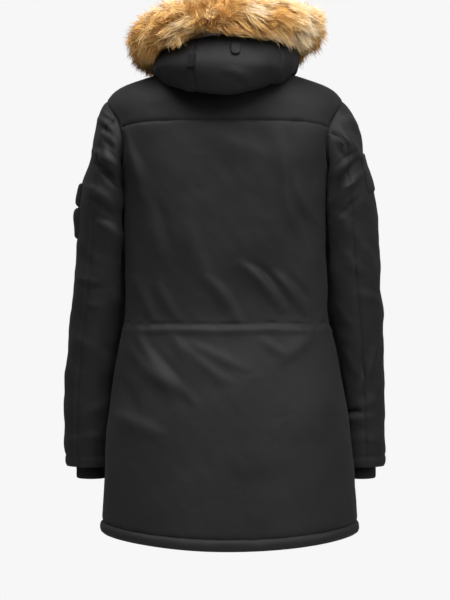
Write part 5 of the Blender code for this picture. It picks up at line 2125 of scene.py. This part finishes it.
    def kept_clear(self, line: Array) -> Array:
        """Points moved up off the shoulders and out of the hood's cloth."""
        x, y, z = line[..., 0], line[..., 1], line[..., 2]
        side, reach = np.arctan2(x - NECK_CENTRE_X, y), np.hypot(x - NECK_CENTRE_X, y)
        degrees = np.degrees(side)
        below = HOOD["fur_z"](degrees) - FUR_RADIUS * 0.75 - z
        lowest = HOOD["crown_reach"](degrees) + 0.005
        push = soft_step(below / 0.010) * (reach > HOOD["fur_reach"](degrees) - 0.004)
        wanted = np.maximum(reach, reach + (lowest - reach) * push)
        x, y = NECK_CENTRE_X + wanted * np.sin(side), wanted * np.cos(side)
        lowest = HOOD["fur_z"](degrees) - FUR_RADIUS + 0.012 - 0.1 * (1 - self.lifted(degrees))
        z = np.where(z < lowest, lowest + 0.3 * (z - lowest), z)
        return np.stack([x, y, np.maximum(z, shoulder_height(x, y) + 0.006)], -1)

    def tones(self, chance: np.random.Generator, turn: Array, around: Array) -> Array:
        """Each lock's tone, from brown to cream, with the painted highlight that the fur's zones carry."""
        degrees = np.degrees(turn)
        share = 0.5 + 0.5 * np.sin(around - 0.5)
        tone = FUR["outer"](degrees) * (1 - share) + FUR["inner"](degrees) * share
        patch = 0.10 * Ripple(95, 0.05)(turn * self.arc, around * self.girth)
        return np.clip(tone + patch + chance.normal(0, 0.08, len(turn)), 0.02, 0.98)

    def strands(
        self, name: str, chance: np.random.Generator, lines: Array, tones: Array, facing: Array
    ) -> bpy.types.Object:
        """The hairs of some locks as thin ribbons that taper to a point.

        Args:
            name: the piece's name.
            chance: random numbers.
            lines: each lock's middle line.
            tones: each lock's tone.
            facing: the way that its hairs' faces are turned.

        Returns:
            The piece.
        """
        locks, stations = lines.shape[:2]
        t = np.linspace(0, 1, stations)
        spread = chance.normal(0, self.lock_spread, (locks, self.hairs, 1, 3))
        stray = chance.normal(0, self.stray, (locks, self.hairs, 1, 3))
        gather = (1 - self.drawn_in * t**1.3)[None, None, :, None]
        reach = chance.uniform(0.62, 1.0, (locks, self.hairs, 1, 1))
        base = lines[:, None, :1]
        hair = base + (lines[:, None] - base) * reach + spread * gather + stray * (t**2)[None, None, :, None]
        hair = hair.reshape(-1, stations, 3)
        count = len(hair)
        turned = np.repeat(facing, self.hairs, axis=0)[:, None] + chance.normal(0, 0.38, (count, 1, 3))
        aside = unit(np.cross(unit(np.gradient(hair, axis=1)), turned))
        taper = (1 - 0.55 * t[:-1] ** 2)[None, :, None]
        half = chance.uniform(*self.width, count)[:, None, None] / 2 * taper
        left, right = hair[:, :-1] - aside[:, :-1] * half, hair[:, :-1] + aside[:, :-1] * half
        sides = np.stack([left, right], 2).reshape(count, -1, 3)
        points = np.concatenate([sides, hair[:, -1:]], 1)
        each = points.shape[1]
        low = 2 * np.arange(stations - 2)
        faces = np.concatenate([
            np.stack([low, low + 1, low + 3], 1),
            np.stack([low, low + 3, low + 2], 1),
            [[each - 3, each - 2, each - 1]],
        ])
        corners = (faces[None] + each * np.arange(count)[:, None, None]).reshape(-1, 3)
        own = np.repeat(tones, self.hairs) + chance.normal(0, 0.05, count)
        shares = np.append(np.repeat(t[:-1], 2), 1.0)
        tone = np.stack([np.repeat(np.clip(own, 0, 1), each), np.tile(shares, count)], -1)
        return mesh_of(name, points.reshape(-1, 3), corners, {"OFBake": tone})


# ---------------------------------------------------------------- the whole coat


@dataclass(frozen=True)
class Lamp:
    """A soft square light.

    Args:
        name: its name.
        at: where it is.
        towards: what it is turned to.
        size: of its side.
        power: in watts.
    """

    name: str
    at: tuple[float, float, float]
    towards: tuple[float, float, float]
    size: float
    power: float

    def build(self) -> None:
        """Adds the light to the scene."""
        data = bpy.data.lights.new(self.name, "AREA")
        data.size = self.size
        data.energy = self.power
        made = bpy.data.objects.new(self.name, data)
        made.location = self.at
        made.rotation_euler = (Vector(self.towards) - Vector(self.at)).to_track_quat("-Z", "Y").to_euler()
        bpy.context.scene.collection.objects.link(made)


LAMPS = (
    Lamp("key_light", (-0.75, 1.70, 1.80), (0.0, 0.0, 0.30), 2.0, 77),
    Lamp("side_light", (-2.6, 1.9, 0.6), (0.0, 0.0, -0.3), 1.2, 17),
    Lamp("top_light", (0.5, 0.8, 1.8), (0.0, 0.0, 0.1), 1.8, 52),
)


@dataclass
class Studio:
    """The pale floor, the soft lights, the pale surroundings and the camera."""

    floor_radius: float = 1.5
    floor_z: float = -1.42
    floor_colour: Colour = (0.72, 0.72, 0.72)
    surroundings: float = 0.93
    glow: tuple[float, float] = (0.03, 0.36)  # how strongly they light the coat from below and from above
    camera_place: tuple[float, float, float] = (0.0036, 3.2, -0.42)
    lens: float = 107.9

    def build(self) -> None:
        """Builds all of it."""
        bpy.context.scene.view_settings.view_transform = "Standard"
        self.floor()
        self.surround()
        for lamp in LAMPS:
            lamp.build()
        self.camera()

    def floor(self) -> None:
        """A pale disc far below the coat."""
        shape = bmesh.new()
        bmesh.ops.create_circle(shape, cap_ends=True, segments=96, radius=self.floor_radius)
        mesh = bpy.data.meshes.new("floor")
        shape.to_mesh(mesh)
        shape.free()
        floor = bpy.data.objects.new("floor", mesh)
        floor.location.z = self.floor_z
        bpy.context.scene.collection.objects.link(floor)
        made, tree, shader = principled("pale_floor")
        fill(tree, shader, {"Base Color": (*self.floor_colour, 1), "Roughness": 0.9})
        mesh.materials.append(made)

    def surround(self) -> None:
        """Pale surroundings whose light on the coat grows towards the top."""
        world = bpy.data.worlds.new("pale_studio")
        bpy.context.scene.world = world
        world.use_nodes = True
        tree = world.node_tree
        background = tree.nodes["Background"]
        seen = add_node(tree, "LightPath", {})["Is Camera Ray"]
        place = add_node(tree, "TexCoord", {})["Generated"]
        height = add_node(tree, "SeparateXYZ", {0: place})["Z"]
        glow = moved(tree, height, (-0.7, 0.9), self.glow)
        colour = (self.surroundings,) * 3 + (1,)
        fill(tree, background, {"Color": colour, "Strength": moved(tree, seen, (0.0, 1.0), (glow, 1.0))})

    def camera(self) -> None:
        """The camera, level behind the coat."""
        data = bpy.data.cameras.new("camera")
        data.lens = self.lens
        data.sensor_width = 36.0
        made = bpy.data.objects.new("camera", data)
        made.location = self.camera_place
        made.rotation_euler = (math.pi / 2, 0, math.pi)
        bpy.context.scene.collection.objects.link(made)
        bpy.context.scene.camera = made


@dataclass
class Coat:
    """The whole coat, from its assemblies."""

    finishes: Finishes

    def sleeves(self) -> list[Sleeve]:
        """Both sleeves, each with what lies on it."""
        sizes = ((0.105, 0.048, 0.0044), (0.105, 0.060, 0.0056), (0.088, 0.078, 0.0058))
        flap_cut, bag_cut, patch_cut = (Cut(*size, Held.STRETCHED) for size in sizes)
        pocket = (
            SleevePiece("pocket_flap", 7.0, 8.4, -60, 20, 0.0030, 0.0050, flap_cut),
            SleevePiece("pocket_bag", 8.5, 10.3, -60, 20, 0.0028, 0.0080, bag_cut),
        )
        patch = (SleevePiece("sleeve_patch", 5.0, 7.5, -20, 40, 0.0020, 0.0025, patch_cut),)
        return [
            Sleeve(Side.LEFT, self.finishes, 60, 280, 0.246, pocket),
            Sleeve(Side.RIGHT, self.finishes, 80, 280, 0.243, patch),
        ]

    def build(self) -> None:
        """Builds every assembly in order, then the stitching of each."""
        body, flap, collar, hood = (kind(self.finishes) for kind in (Body, StormFlap, Collar, Hood))
        sleeves = self.sleeves()
        fur = FurTrim(self.finishes)
        for assembly in (body, flap, collar, *sleeves, hood, fur):
            assembly.build()
            LOG.info("built %s", type(assembly).__name__)
        self.sew("stitching_body", body.stitches())
        self.sew("stitching_front", flap.stitches() + collar.stitches())
        for sleeve in sleeves:
            self.sew(f"stitching_sleeve_{sleeve.side.word}", sleeve.stitches())
        self.sew("stitching_hood", hood.stitches())

    def sew(self, name: str, runs: Runs) -> None:
        """Joins lines of stitches into one piece."""
        place(joined(name, runs), Slot.CLOTH, self.finishes.thread)


def main() -> None:
    """Dresses the frame and sets it in the studio."""
    logging.basicConfig(level=logging.INFO, format="%(message)s")
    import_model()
    Coat(Finishes.made()).build()
    Studio().build()


if __name__ == "__main__":
    main()
